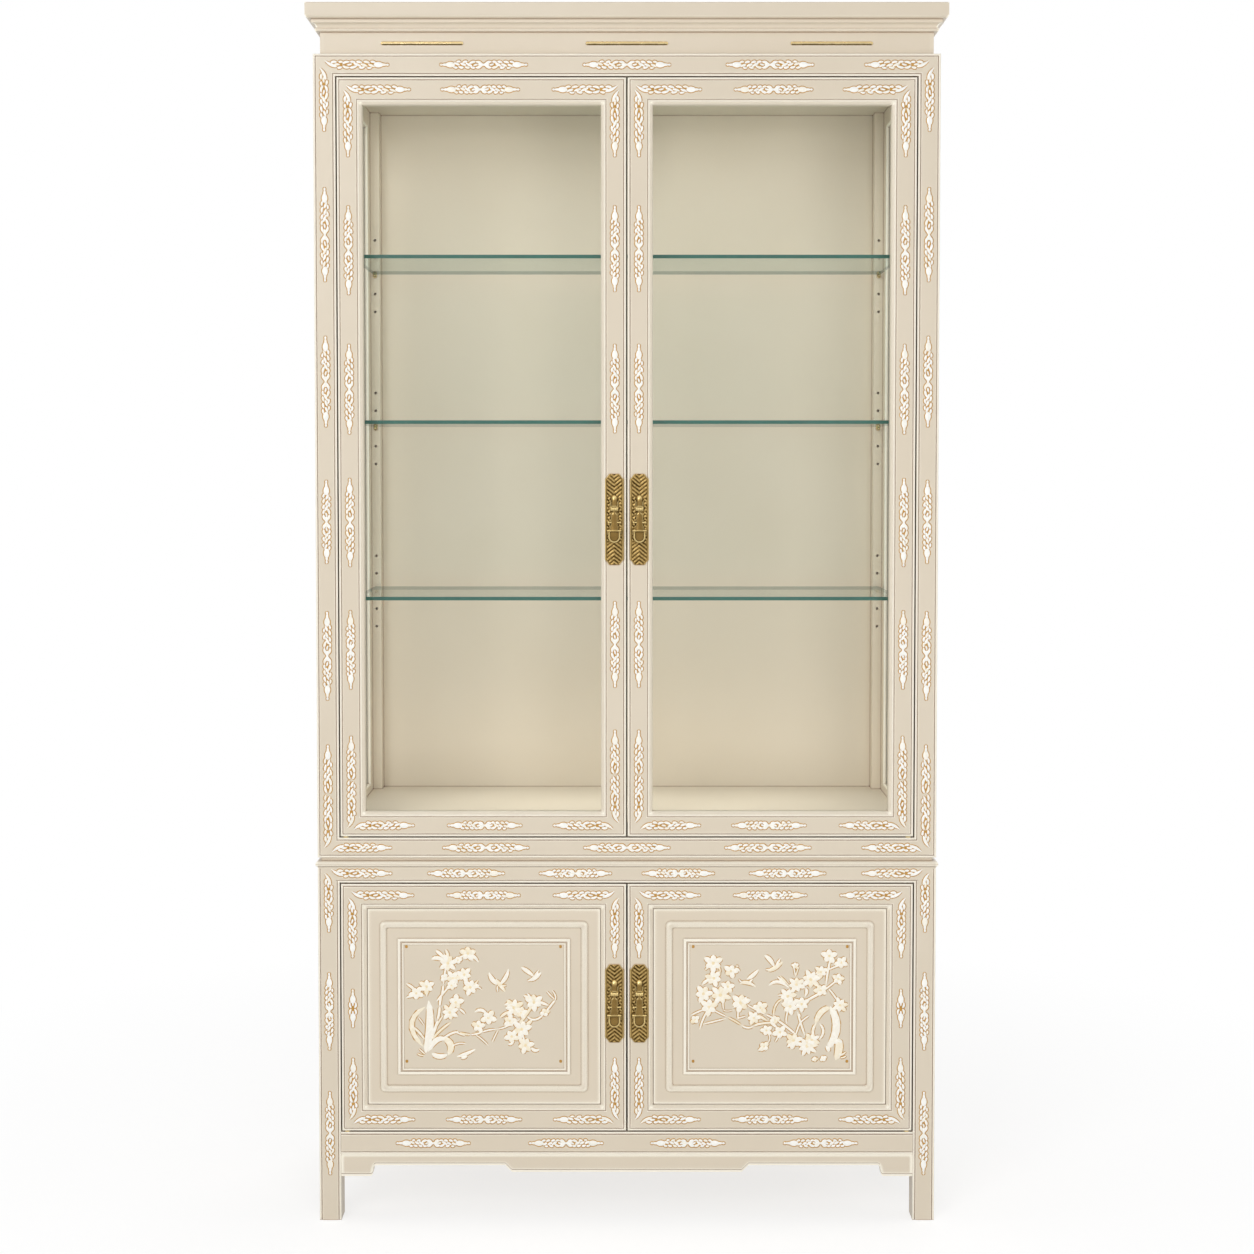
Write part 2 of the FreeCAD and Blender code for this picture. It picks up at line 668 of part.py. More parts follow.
def back_rail(low, high):
    """A plain rail behind a case, with tenons for the back posts."""
    y1 = BACK_FACE
    bar = box(-POST_FACE, POST_FACE, y1 - BACK_RAIL_DEPTH, y1, low, high)
    reach = POST_FACE + TENON_LENGTH / 2
    inset = (high - low) / 4
    return joined(bar, [box(-reach, reach, y1 - TENON_THICK - FIT, y1 - FIT, low + inset, high - inset)])


def back_rebate(low, high):
    """The rebate in the back posts for a back board."""
    lap = POST_FACE + BACK_LAP + FIT
    return box(-lap, lap, BACK_FACE, BACK, low, high)


def back_panel(low, high):
    lap = POST_FACE + BACK_LAP
    return box(-lap, lap, BACK_FACE, BACK_FACE + BACK_BOARD, low, high)


# The upper case

def upper_case():
    nodes = {}
    top_mitre = front_trapezoid(UPPER_TOP_LOW, UPPER_TOP, True)
    low_mitre = front_trapezoid(UPPER_LOW, UPPER_RAIL_TOP, False)
    side_low = side_rail(UPPER_LOW, UPPER_RAIL_TOP)
    side_high = side_rail(UPPER_TOP_LOW, UPPER_TOP)

    # side glass stands between an outer and an inner frame of strips, the outer one let into the posts
    nodes["upper_side_rails"] = both_sides(side_low) + both_sides(side_high)
    lap = REBATE
    reach = lap - PANEL_CLEAR
    seat = box(-RAIL_IN - FIT, -POST_FACE, POST_BACK - lap, REAR_POST + lap, FLOOR, CEILING)
    pane_in = GLAZING_FACE + GLAZING_INNER
    pane_out = pane_in + PANE
    pane = box(-pane_out, -pane_in, POST_BACK - reach, REAR_POST + reach, FLOOR + PANEL_CLEAR, CEILING - PANEL_CLEAR)
    nodes["side_glass_panes"] = both_sides(pane)
    width, height = REAR_POST - POST_BACK + 2 * reach, CEILING - FLOOR
    sides = (GLAZING_STILE + reach, GLAZING_STILE + reach, GLAZING_BOTTOM, GLAZING_TOP)
    strips = mitred_frame(Vector(-pane_in, REAR_POST + reach, FLOOR), Y_AXIS * -1, Z_AXIS, width, height, sides,
                          lambda member: bead_strip_outline(member, GLAZING_INNER, GLAZING_ROUND))
    strips += mitred_frame(Vector(-pane_out, POST_BACK - reach, FLOOR), Y_AXIS, Z_AXIS, width, height, sides,
                           lambda member: bead_strip_outline(member, RAIL_IN - pane_out, GLAZING_ROUND))
    nodes["side_glazing_strips"] = [s for strip in strips for s in both_sides(strip)]

    # front rails with housings for the floor and ceiling boards
    floor = board_between_posts(FLOOR - BOARD, BOARD, HOUSING)
    ceiling = board_between_posts(CEILING, CEILING_BOARD, HOUSING)
    top_rail = front_rail(UPPER_TOP_LOW, UPPER_TOP, UPPER_TOP_LOW - BASE_STOP, UPPER_TOP, top_mitre)
    top_rail = top_rail.cut(box(-POST_FACE, POST_FACE, POST_BACK - HOUSING, POST_BACK,
                                CEILING, CEILING + CEILING_BOARD))
    strip_end = box(-POST_FACE, -GLAZING_FACE + FIT, POST_BACK - reach - FIT, POST_BACK, UPPER_TOP_LOW, CEILING)
    top_rail = cut_all(top_rail, both_sides(strip_end))
    low_rail = front_rail(UPPER_LOW, UPPER_RAIL_TOP, UPPER_LOW, FLOOR, low_mitre)
    low_rail = low_rail.cut(box(-POST_FACE, POST_FACE, POST_BACK - HOUSING, POST_BACK, FLOOR - BOARD, FLOOR))
    nodes["upper_top_rail"] = [bush_bores(top_rail, UPPER_TOP_LOW, UPPER_TOP_LOW + BUSH_LENGTH + DOOR_GAP)]
    nodes["upper_bottom_rail"] = [bush_bores(low_rail, UPPER_RAIL_TOP - BUSH_LENGTH - DOOR_GAP, UPPER_RAIL_TOP)]
    nodes["upper_floor_board"] = [floor]
    nodes["upper_ceiling_board"] = [ceiling]

    side_tools = [seat, side_tenon_run(UPPER_LOW, UPPER_RAIL_TOP), side_tenon_run(UPPER_TOP_LOW, UPPER_TOP)]
    front_tools = side_tools + [top_mitre, low_mitre]
    front_tools += [rail_tenons(UPPER_TOP_LOW, UPPER_TOP), rail_tenons(UPPER_LOW, UPPER_RAIL_TOP)]
    nodes["upper_front_posts"] = both_sides(cut_all(left_post(True, UPPER_LOW, UPPER_TOP), front_tools))
    back_rails = [back_rail(UPPER_LOW, FLOOR - BOARD), back_rail(CEILING + CEILING_BOARD, UPPER_TOP)]
    back_tools = side_tools + back_rails + [back_rebate(UPPER_LOW, UPPER_TOP)]
    nodes["upper_back_posts"] = both_sides(cut_all(left_post(False, UPPER_LOW, UPPER_TOP), back_tools))
    nodes["back_rails"] = back_rails
    nodes["back_panels"] = [back_panel(APRON_TOP, BASE_TOP), back_panel(UPPER_LOW, UPPER_TOP)]
    return nodes


def shelf_pin(x, y, z, out):
    """A turned brass pin: shank in the strip, collar against its face, round-ended nose under the glass."""
    nose_end = PIN_NOSE - PIN_RADIUS
    path = Outline((0, -PIN_SHANK))
    path.line((PIN_RADIUS, -PIN_SHANK))
    path.line((PIN_RADIUS, 0))
    path.line((PIN_COLLAR, 0))
    path.line((PIN_COLLAR, PIN_COLLAR_LENGTH))
    path.line((PIN_RADIUS, PIN_COLLAR_LENGTH))
    path.line((PIN_RADIUS, nose_end))
    path.arc((PIN_RADIUS * math.sqrt(0.5), nose_end + PIN_RADIUS * math.sqrt(0.5)), (0, PIN_NOSE))
    return path.turned(Vector(x, y, z), Z_AXIS, out)


def shelving():
    """Glass shelves, the bored strips beside them and the pins that carry them."""
    nodes = {}
    back_y = BACK_FACE - BACK_STRIP_DEPTH
    front_y = FRONT + FRONT_STRIP_BACK
    pin_x = STRIP_FACE + PIN_INSET
    shelf_half = GLAZING_FACE - SHELF_SIDE_GAP
    back_strip = box(-GLAZING_FACE, -STRIP_FACE, back_y, BACK_FACE, FLOOR, CEILING)
    front_strip = box(-GLAZING_FACE, -STRIP_FACE, front_y - FRONT_STRIP_DEPTH, front_y, FLOOR, CEILING)
    bore = PIN_RADIUS + PIN_HOLE_CLEAR
    deep = PIN_SHANK + PIN_COLLAR_LENGTH
    pins = []
    for name, rise in SHELF_RISES.items():
        top = FLOOR + rise
        low = top - SHELF_GLASS
        pin_z = low - PIN_RADIUS
        nodes["glass_shelf_" + name] = [box(-shelf_half, shelf_half, front_y + SHELF_END_GAP,
                                            back_y - SHELF_END_GAP, low, top)]
        for step in PIN_STEPS:
            z = pin_z + step * PIN_PITCH
            back_strip = back_strip.cut(Part.makeCylinder(bore, deep, Vector(-pin_x, back_y, z), Y_AXIS))
            front_strip = front_strip.cut(Part.makeCylinder(bore, deep, Vector(-pin_x, front_y, z), Y_AXIS * -1))
        pins += both_sides(shelf_pin(-pin_x, back_y, pin_z, Y_AXIS * -1))
        pins += both_sides(shelf_pin(-pin_x, front_y, pin_z, Y_AXIS))
    nodes["shelf_pin_strips"] = both_sides(back_strip) + both_sides(front_strip)
    nodes["shelf_pins"] = pins
    return nodes


# Frieze and cornice

def cornice_outline():
    """The cornice in section: rounded fascia, fillet, cove and a bead that dies on the frieze."""
    out, top = CORNICE_OUT, CORNICE_HEIGHT
    fascia_low = top - FASCIA
    fillet_low = fascia_low - CORNICE_FILLET
    cove_low = fillet_low - COVE_DROP
    fillet_out = out - CORNICE_STEP
    bead_out = fillet_out - COVE_IN
    path = Outline((0, top))
    path.line((out - CORNICE_EDGE, top))
    path.arc((out - CORNICE_EDGE * ROUND, top - CORNICE_EDGE * ROUND), (out, top - CORNICE_EDGE))
    path.line((out, fascia_low + FASCIA_ROUND))
    path.arc((out - FASCIA_ROUND * ROUND, fascia_low + FASCIA_ROUND * ROUND), (out - FASCIA_ROUND, fascia_low))
    path.line((fillet_out, fascia_low))
    path.line((fillet_out, fillet_low))
    path.arc((bead_out + COVE_IN * ROUND, fillet_low - COVE_DROP * ROUND), (bead_out, cove_low))
    path.arc((bead_out + CORNICE_BEAD_OUT, cove_low - CORNICE_BEAD / 2), (bead_out, cove_low - CORNICE_BEAD))
    path.line((0, 0))
    return path


def round_ended(x, z, length, height, y0, y1):
    """A flat bar along X with half-round ends, its middle at (x, z)."""
    a, r = (length - height) / 2, height / 2
    path = Outline((-a, r))
    path.arc((-a - r, 0), (-a, -r))
    path.line((a, -r))
    path.arc((a + r, 0), (a, r))
    return path.extrude(Vector(x, y0, z), X_AXIS, Z_AXIS, Y_AXIS * (y1 - y0))


def crown():
    """Frieze boards, brass strips, mitred cornice and the cap board."""
    nodes = {}
    corner = CORNICE_OUT + POST_WIDTH
    run = FRIEZE_HALF + corner
    # plan of the front stick: everything in front of the two mitre planes
    wedge = prism([(-run, -corner), (run, -corner), (0, FRIEZE_HALF)],
                  Vector(0, FRIEZE_FRONT, UPPER_TOP), X_AXIS, Y_AXIS, Z_AXIS * (CORNICE_TOP - UPPER_TOP))
    front = cornice_outline().extrude(Vector(-run, FRIEZE_FRONT, CORNICE_LOW), Y_AXIS * -1, Z_AXIS,
                                      X_AXIS * (2 * run)).common(wedge)
    side = cornice_outline().extrude(Vector(-FRIEZE_HALF, FRIEZE_FRONT - corner, CORNICE_LOW), X_AXIS * -1,
                                     Z_AXIS, Y_AXIS * (BACK - FRIEZE_FRONT + corner)).cut(wedge)
    nodes["cornice_mouldings"] = [front] + both_sides(side)

    board_back = FRIEZE_FRONT + FRIEZE_BOARD
    inner = FRIEZE_HALF - FRIEZE_BOARD
    front_board = box(-FRIEZE_HALF, FRIEZE_HALF, FRIEZE_FRONT, board_back, UPPER_TOP, CAP_LOW).common(wedge)
    side_board = box(-FRIEZE_HALF, -inner, FRIEZE_FRONT, BACK, UPPER_TOP, CAP_LOW).cut(wedge)
    back_board = box(-inner, inner, BACK - FRIEZE_BOARD, BACK, UPPER_TOP, CAP_LOW)
    strips = []
    middle = UPPER_TOP + FRIEZE_SHOW / 2
    for step in (-1, 0, 1):
        path = Outline((0, STRIP_SEAT))
        path.line((0, 0))
        path.arc((STRIP_HEIGHT / 2, -STRIP_CROWN), (STRIP_HEIGHT, 0))
        path.line((STRIP_HEIGHT, STRIP_SEAT))
        x = step * STRIP_SPACING
        strip = path.extrude(Vector(x - STRIP_LENGTH / 2, FRIEZE_FRONT, middle - STRIP_HEIGHT / 2), Z_AXIS, Y_AXIS,
                             X_AXIS * STRIP_LENGTH)
        strips.append(strip.common(round_ended(x, middle, STRIP_LENGTH, STRIP_HEIGHT,
                                               FRIEZE_FRONT - STRIP_HEIGHT, FRIEZE_FRONT + STRIP_SEAT)))
    nodes["frieze_brass_strips"] = strips
    nodes["frieze_boards"] = [cut_all(front_board, strips)] + both_sides(side_board) + [back_board]
    nodes["cornice_cap"] = [box(-FRIEZE_HALF, FRIEZE_HALF, FRIEZE_FRONT, BACK, CAP_LOW, CORNICE_TOP)]
    return nodes


# Doors

def door_frame(low, high, sides, glazed):
    """The four mitred members of a left door, the rails with stub tenons let into the stiles."""
    width = DOOR_OUT - DOOR_IN
    members = mitred_frame(Vector(-DOOR_OUT, FRONT, low), X_AXIS, Z_AXIS, width, high - low, sides,
                           lambda member: door_outline(member, glazed))
    near, far = DOOR_TENON_NEAR, DOOR_TENON_FAR
    y0 = FRONT + DOOR_TENON_DEPTH
    tenons = []
    for z0, z1 in ((low + near, low + far), (high - far, high - near)):
        for x0, x1 in ((-DOOR_OUT + near, -DOOR_OUT + far), (-DOOR_IN - far, -DOOR_IN - near)):
            tenons.append(box(x0, x1, y0, y0 + TONGUE, z0, z1))
    stiles = [cut_all(s, tenons) for s in members[:2]]
    rails = [joined(members[2], tenons[:2]), joined(members[3], tenons[2:])]
    bores = [rod(-PIVOT_X, PIVOT_Y, low, low + PIVOT_HOLD, PIVOT_RADIUS),
             rod(-PIVOT_X, PIVOT_Y, high - PIVOT_HOLD, high, PIVOT_RADIUS)]
    stiles[0] = cut_all(stiles[0], bores)
    rails = [cut_all(r, bores) for r in rails]
    reach = DOOR_GAP + PIVOT_REACH
    pins = [rod(-PIVOT_X, PIVOT_Y, low - reach, low + PIVOT_HOLD, PIVOT_RADIUS),
            rod(-PIVOT_X, PIVOT_Y, high - PIVOT_HOLD, high + reach, PIVOT_RADIUS)]
    return stiles, rails, pins


def pivot_bushes(low, high):
    """Brass bushes of a left door: a flanged one under it carries the weight, a plain one above it guides."""
    bore = PIVOT_RADIUS + PIVOT_RUNNING
    x, y = -PIVOT_X, PIVOT_Y
    seat = low - DOOR_GAP
    lower = rod(x, y, seat - BUSH_LENGTH, seat, BUSH_RADIUS)
    lower = joined(lower, [rod(x, y, seat, low - THRUST_GAP, BUSH_FLANGE)])
    lower = lower.cut(rod(x, y, seat - BUSH_LENGTH, low, bore))
    seat = high + DOOR_GAP
    upper = rod(x, y, seat, seat + BUSH_LENGTH, BUSH_RADIUS).cut(rod(x, y, seat, seat + BUSH_LENGTH, bore))
    return [lower, upper]


def notched_plate(x, y, z, plate_height):
    """A flat plate whose four corners are cut back by shallow hollow arcs."""
    a, b = PLATE_WIDTH / 2, plate_height / 2
    nx, nz, dish = PLATE_NOTCH_X, PLATE_NOTCH_Z, PLATE_NOTCH_DISH
    path = Outline((a - nx, b))
    for sx, sz in ((1, 1), (1, -1), (-1, -1), (-1, 1)):
        ends = [(sx * (a - nx), sz * b), (sx * a, sz * (b - nz))]
        if sx * sz < 0:
            ends.reverse()
        if path.here != ends[0]:
            path.line(ends[0])
        path.arc((sx * (a - nx / 2 - dish), sz * (b - nz / 2 - dish)), ends[1])
    return path.extrude(Vector(x, y, z), X_AXIS, Z_AXIS, Y_AXIS * PLATE_THICK)


def acorn_boss(x, face, axis_y, axis_z):
    """Half an acorn on the plate, with two ears below it that hold the pin."""
    wall_top = ACORN_START + ACORN_WALL
    shoulder = ACORN_TOP - wall_top
    acorn = Outline((0, ACORN_START))
    acorn.line((ACORN_RADIUS, ACORN_START))
    acorn.line((ACORN_RADIUS, wall_top))
    acorn.curve((ACORN_RADIUS, wall_top + shoulder * ACORN_FULLNESS),
                (ACORN_RADIUS * ACORN_FULLNESS, ACORN_TOP), (0, ACORN_TOP))
    dome = acorn.turned(Vector(x, face, axis_z), X_AXIS, Z_AXIS)
    reach = PLATE_WIDTH
    dome = dome.common(box(x - reach, x + reach, face - reach, face, axis_z, axis_z + reach))
    ears = []
    for x0 in (x + KNUCKLE_HALF + EAR_GAP, x - KNUCKLE_HALF - EAR_GAP - EAR_THICK):
        x1 = x0 + EAR_THICK
        ears.append(Part.makeCylinder(EAR_RADIUS, EAR_THICK, Vector(x0, axis_y, axis_z), X_AXIS))
        ears.append(box(x0, x1, axis_y, face, axis_z - EAR_RADIUS, axis_z + EAR_RADIUS))
        ears.append(box(x0, x1, face - ACORN_RADIUS / 2, face, axis_z, axis_z + wall_top))
    return joined(dome, ears)


def cup_plate(x, y, top, half, thick):
    """A flat plate that hangs from a level edge: straight sides and a half-round end, its front face at y."""
    path = Outline((-half, 0))
    path.line((-half, -CUP_STRAIGHT))
    path.arc((0, -CUP_STRAIGHT - half), (half, -CUP_STRAIGHT))
    path.line((half, 0))
    return path.extrude(Vector(x, y, top), X_AXIS, Z_AXIS, Y_AXIS * thick)


def hanging_drop(x, axis_y, axis_z):
    """The drop: a knuckle on the pin, a broad shank with a ball to each side, a hooked bar and a rimmed cup."""
    knuckle = Part.makeCylinder(KNUCKLE, 2 * KNUCKLE_HALF, Vector(x - KNUCKLE_HALF, axis_y, axis_z), X_AXIS)
    rings = []
    for below, half_width, half_thick in SHANK:
        ellipse = Part.Ellipse(Vector(0, 0, 0), half_width, half_thick).toShape()
        ellipse.translate(Vector(x, axis_y, axis_z - below))
        rings.append(Part.Wire([ellipse]))
    shank = Part.makeLoft(rings, True, True)
    arm_z = axis_z - ARM_DROP
    bar_z = axis_z - BAR_DROP
    bar_end = BAR_HALF - BAR_RADIUS
    trim = [Part.makeCylinder(ARM_RADIUS, 2 * ARM_HALF, Vector(x - ARM_HALF, axis_y, arm_z), X_AXIS),
            Part.makeCylinder(BAR_RADIUS, 2 * bar_end, Vector(x - bar_end, axis_y, bar_z), X_AXIS)]
    for side in (-1, 1):
        end = x + side * bar_end
        trim.append(Part.makeSphere(BALL_RADIUS, Vector(x + side * ARM_HALF, axis_y, arm_z)))
        trim.append(Part.makeSphere(BAR_RADIUS, Vector(end, axis_y, bar_z)))
        trim.append(rod(end, axis_y, bar_z - BAR_HOOK, bar_z, BAR_RADIUS))
        trim.append(Part.makeSphere(BAR_RADIUS, Vector(end, axis_y, bar_z - BAR_HOOK)))
    cup_face = axis_y - CUP_THICK / 2
    cup = cup_plate(x, cup_face, bar_z, CUP_HALF, CUP_THICK)
    rim = [e for e in cup.Edges if abs(e.CenterOfMass.y - axis_y) > FIT and abs(e.CenterOfMass.z - bar_z) > FIT]
    cup = cup.makeFillet(CUP_ROUND, rim)
    cup = cup.cut(cup_plate(x, cup_face, bar_z, CUP_HALF - CUP_RIM, CUP_DISH))
    return joined(shank, [knuckle, cup] + trim)


def pull(centre_z, plate_height):
    """A drop pull on a left door: the solids fixed to the door, and the drop that swings on their pin."""
    x = -PULL_X
    face = FRONT - PLATE_THICK
    axis_y = face - PULL_AXIS_OUT
    axis_z = centre_z + PULL_AXIS_RISE
    outer = KNUCKLE_HALF + EAR_GAP + EAR_THICK
    plate = notched_plate(x, face, centre_z, plate_height)
    pin = Part.makeCylinder(PULL_PIN, 2 * outer, Vector(x - outer, axis_y, axis_z), X_AXIS)
    boss = acorn_boss(x, face, axis_y, axis_z).cut(pin)
    bore = Part.makeCylinder(PULL_PIN + PULL_RUNNING, 2 * outer, Vector(x - outer, axis_y, axis_z), X_AXIS)
    drop = hanging_drop(x, axis_y, axis_z).cut(bore)
    return [plate, boss, pin], drop


def door_pair(kind, low, high, sides, plate_rise, plate_height):
    """The left door of a pair and its mirror image."""
    glazed = kind == "glass"
    stiles, rails, pins = door_frame(low, high, sides, glazed)
    left, right, bottom, top = sides
    x0, x1 = -DOOR_OUT + left, -DOOR_IN - right
    z0, z1 = low + bottom, high - top
    fixed, drop = pull(low + plate_rise, plate_height)
    door = {"stiles": stiles, "rails": rails, "pivot_pins": pins, "pull_plate": fixed, "pull_drop": [drop]}
    if glazed:
        pane_y = FRONT + REBATE_DEPTH
        door["pane"] = [box(x0 - PANE_LAP, x1 + PANE_LAP, pane_y, pane_y + PANE, z0 - PANE_LAP, z1 + PANE_LAP)]
        bead = REBATE - FIT
        bead_y = pane_y + PANE
        door["glazing_beads"] = mitred_frame(
            Vector(x0 - bead, bead_y, z0 - bead), X_AXIS, Z_AXIS, x1 - x0 + 2 * bead, z1 - z0 + 2 * bead,
            (bead, bead, bead, bead),
            lambda width: bead_strip_outline(width, FRAME_LAYER - REBATE_DEPTH - PANE, bead / 2))
    else:
        door["panel"] = [fielded_panel(x0, x1, z0, z1, FRONT, True)]
    nodes = {}
    for piece, solids in door.items():
        nodes[kind + "_door_left_" + piece] = solids
        nodes[kind + "_door_right_" + piece] = [mirrored(s) for s in solids]
    return nodes


def build():
    nodes = {}
    for group in (base_cabinet(), upper_case(), shelving(), crown()):
        for name, solids in group.items():
            nodes.setdefault(name, []).extend(solids)
    glass = (GLASS_STILE, GLASS_STILE, GLASS_BOTTOM_RAIL, GLASS_TOP_RAIL)
    panel = (PANEL_FRAME, PANEL_FRAME, PANEL_FRAME, PANEL_FRAME)
    nodes.update(door_pair("glass", GLASS_DOOR_LOW, GLASS_DOOR_HIGH, glass, GLASS_PLATE_RISE, GLASS_PLATE_HEIGHT))
    nodes.update(door_pair("base", BASE_DOOR_LOW, BASE_DOOR_HIGH, panel, BASE_PLATE_RISE, BASE_PLATE_HEIGHT))
    bushes = pivot_bushes(BASE_DOOR_LOW, BASE_DOOR_HIGH) + pivot_bushes(GLASS_DOOR_LOW, GLASS_DOOR_HIGH)
    nodes["pivot_bushes"] = [s for bush in bushes for s in both_sides(bush)]
    return nodes


os.makedirs("parts", exist_ok=True)
for name, solids in build().items():
    shape = solids[0] if len(solids) == 1 else Part.makeCompound(solids)
    shape.exportStep("parts/" + name + ".step")
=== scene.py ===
"""Looks of a cream lacquered hutch cabinet with shell inlay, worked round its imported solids."""

import json
import math

import bpy
import numpy as np
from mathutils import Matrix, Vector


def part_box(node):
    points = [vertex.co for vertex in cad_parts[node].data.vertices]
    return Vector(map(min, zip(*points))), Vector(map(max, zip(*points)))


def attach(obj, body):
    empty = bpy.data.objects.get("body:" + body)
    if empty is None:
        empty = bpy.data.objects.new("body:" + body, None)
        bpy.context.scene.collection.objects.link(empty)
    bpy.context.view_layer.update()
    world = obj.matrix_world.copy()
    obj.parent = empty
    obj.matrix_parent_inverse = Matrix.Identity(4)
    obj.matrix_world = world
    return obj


bl_info = {
    "name": "Lacquered hutch cabinet",
    "version": (1, 0, 0),
    "blender": (4, 5, 0),
    "location": "View3D > Sidebar > Cabinet",
    "description": "Finishes, shell inlay, engraved pulls and a studio stage for a hutch cabinet",
    "category": "Object",
}

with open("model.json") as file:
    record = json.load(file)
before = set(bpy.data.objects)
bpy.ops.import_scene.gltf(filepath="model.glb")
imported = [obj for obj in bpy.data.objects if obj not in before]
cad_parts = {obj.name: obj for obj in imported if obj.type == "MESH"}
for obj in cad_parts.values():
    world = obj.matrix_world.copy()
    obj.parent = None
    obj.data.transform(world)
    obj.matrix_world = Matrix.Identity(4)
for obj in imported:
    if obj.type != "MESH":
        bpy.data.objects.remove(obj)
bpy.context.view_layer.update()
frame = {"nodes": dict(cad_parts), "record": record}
MM = 0.001
FACE_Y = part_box("upper_front_posts")[0].y
PANEL_Y = FACE_Y + 7.0 * MM


def linear(code):
    """An sRGB hex colour as linear RGBA: the standard's straight toe below 0.04045, a 2.4 power above it."""
    srgb = np.array([int(code[i:i + 2], 16) for i in (1, 3, 5)]) / 255
    rgb = np.where(srgb <= 0.04045, srgb / 12.92, ((srgb + 0.055) / 1.055) ** 2.4)
    return (*rgb.tolist(), 1.0)


def colour(code, name, description):
    return bpy.props.FloatVectorProperty(
        name=name, description=description, subtype="COLOR", size=4, min=0.0, max=1.0, default=linear(code))


def length(default, name, description):
    return bpy.props.FloatProperty(name=name, description=description, default=default * MM, unit="LENGTH")


def power(default, name, description):
    return bpy.props.FloatProperty(name=name, description=description, default=default, unit="POWER")


class CabinetFinish(bpy.types.PropertyGroup):
    """Colours of the cabinet's finishes."""

    cream: colour("#E2D6C3", "Cream", "Lacquer on the flats")
    cream_warm: colour("#DCCFBA", "Warm cream", "Lacquer where it lies a little thicker")
    # painted highlight: the pale colour laid on lacquered edges and beads in place of the light they catch
    cream_highlight: colour("#FFF9EA", "Cream highlight", "Lacquer rubbed pale along edges and beads")
    # brown glaze, and painted shade: laid into quirks and corners where the shade falls
    glaze_and_shade: colour("#82501A", "Glaze and shade", "Brown glaze left in quirks and corners")
    pearl: colour("#FFFDF8", "Pearl", "Palest shell of the inlay")
    pearl_warm: colour("#F8ECD2", "Warm pearl", "Warm shell of the inlay")
    pearl_sea: colour("#EEF3EC", "Sea pearl", "Cool shell of the inlay")
    bone: colour("#FFF9EC", "Bone", "Palest shell of the tablets")
    bone_warm: colour("#F3DCA6", "Warm bone", "Golden hearts and warm pieces of the tablets")
    gilt: colour("#C2923F", "Gilt", "Gilding round the inlay")
    # darker gilding in specks, and painted shade where the gilding lies deep beside the shell
    gilt_dark_and_shade: colour("#845A20", "Dark gilt and shade", "Gilding in the pierced places")
    brass: colour("#B6965A", "Brass", "Engraved brass of the pull plates")
    brass_cast: colour("#8E7240", "Cast brass", "Cast brass of the hanging pulls")
    # painted highlight of the brass, on its edges, crowns and upward faces
    brass_highlight: colour("#F4DA98", "Brass highlight", "Crowns and edges of the brass, rubbed bright")
    # patina and random stains of the brass, with painted shade in hollows, on undersides and on flanks
    brass_patina_and_shade: colour("#33240D", "Brass patina and shade", "Patina in the hollows of the pulls")
    brass_pale: colour("#DAC69A", "Pale brass", "Drawn brass of the frieze strips")
    glass_edge: colour("#1E5B4F", "Glass edge", "Green of the glass seen through its edge")
    poplar: colour("#D9C39C", "Poplar", "Sealed wood inside the base")
    stain: colour("#3A2C1C", "Stain", "Dark wood in the meeting gap of the glass doors")


class CabinetInlay(bpy.types.PropertyGroup):
    """Sizes of the relief work."""

    relief: length(0.95, "Relief", "How far the shell of the rails stands up")
    tablet_relief: length(0.8, "Tablet relief", "How far the shell of the door tablets stands up")
    gilding: length(1.7, "Gilding", "How far the gilding reaches round the shell of the rails")
    tablet_gilding: length(1.5, "Tablet gilding", "How far the gilding reaches round the tablets' shell")
    sink: length(0.3, "Sink", "How deep the edges of the inlay are let in")
    engraving: length(0.5, "Engraving", "Depth of the cuts in the pull plates")


class CabinetStage(bpy.types.PropertyGroup):
    """Camera and light."""

    distance: length(3300.0, "Distance", "From the camera to the front of the cabinet")
    height: length(1250.0, "Height", "Of the camera above the floor")
    tilt: bpy.props.FloatProperty(
        name="Tilt", description="How far the camera looks down", subtype="ANGLE", default=math.radians(2.28))
    lens: bpy.props.FloatProperty(name="Lens", description="Focal length in mm", default=58.1, unit="CAMERA")
    key: power(72.0, "Key light", "Large lamp at the upper left")
    front: power(99.0, "Front light", "Broad lamp behind the camera that reaches into the case")
    back: power(36.0, "Back light", "Broad lamp behind the cabinet")
    side: power(28.0, "Side light", "Lamp beside the cabinet, one at each side")
    case: power(0.6, "Case light", "Strip lamps over the upper and the lowest space of the display case")
    sky: bpy.props.FloatProperty(
        name="Sky", description="Strength of light from all round", subtype="FACTOR", min=0.0, default=0.34)


# Nodes and meshes


def node(tree, kind, inputs=None, **settings):
    """Adds one node: settings are its own properties, inputs are values or the sockets that feed it."""
    made = tree.nodes.new(kind)
    for key, value in settings.items():
        setattr(made, key, value)
    for key, value in (inputs or {}).items():
        if isinstance(value, bpy.types.NodeSocket):
            tree.links.new(value, made.inputs[key])
        else:
            made.inputs[key].default_value = value
    return made


def maths(tree, operation, first, second=0.0, **settings):
    """One step of arithmetic on values."""
    return node(tree, "ShaderNodeMath", {0: first, 1: second}, operation=operation, **settings).outputs[0]


def blank_material(name):
    made = bpy.data.materials.new(name)
    made.use_nodes = True
    made.node_tree.nodes.clear()
    return made, made.node_tree


def mixed(tree, share, first, second):
    """A colour between two others."""
    return node(tree, "ShaderNodeMix", {0: share, 6: first, 7: second}, data_type="RGBA").outputs[2]


def ranged(tree, value, low, high, to_low, to_high):
    """A value carried from one range to another, held at both ends."""
    return node(tree, "ShaderNodeMapRange", {"Value": value, "From Min": low, "From Max": high,
                                             "To Min": to_low, "To Max": to_high}).outputs[0]


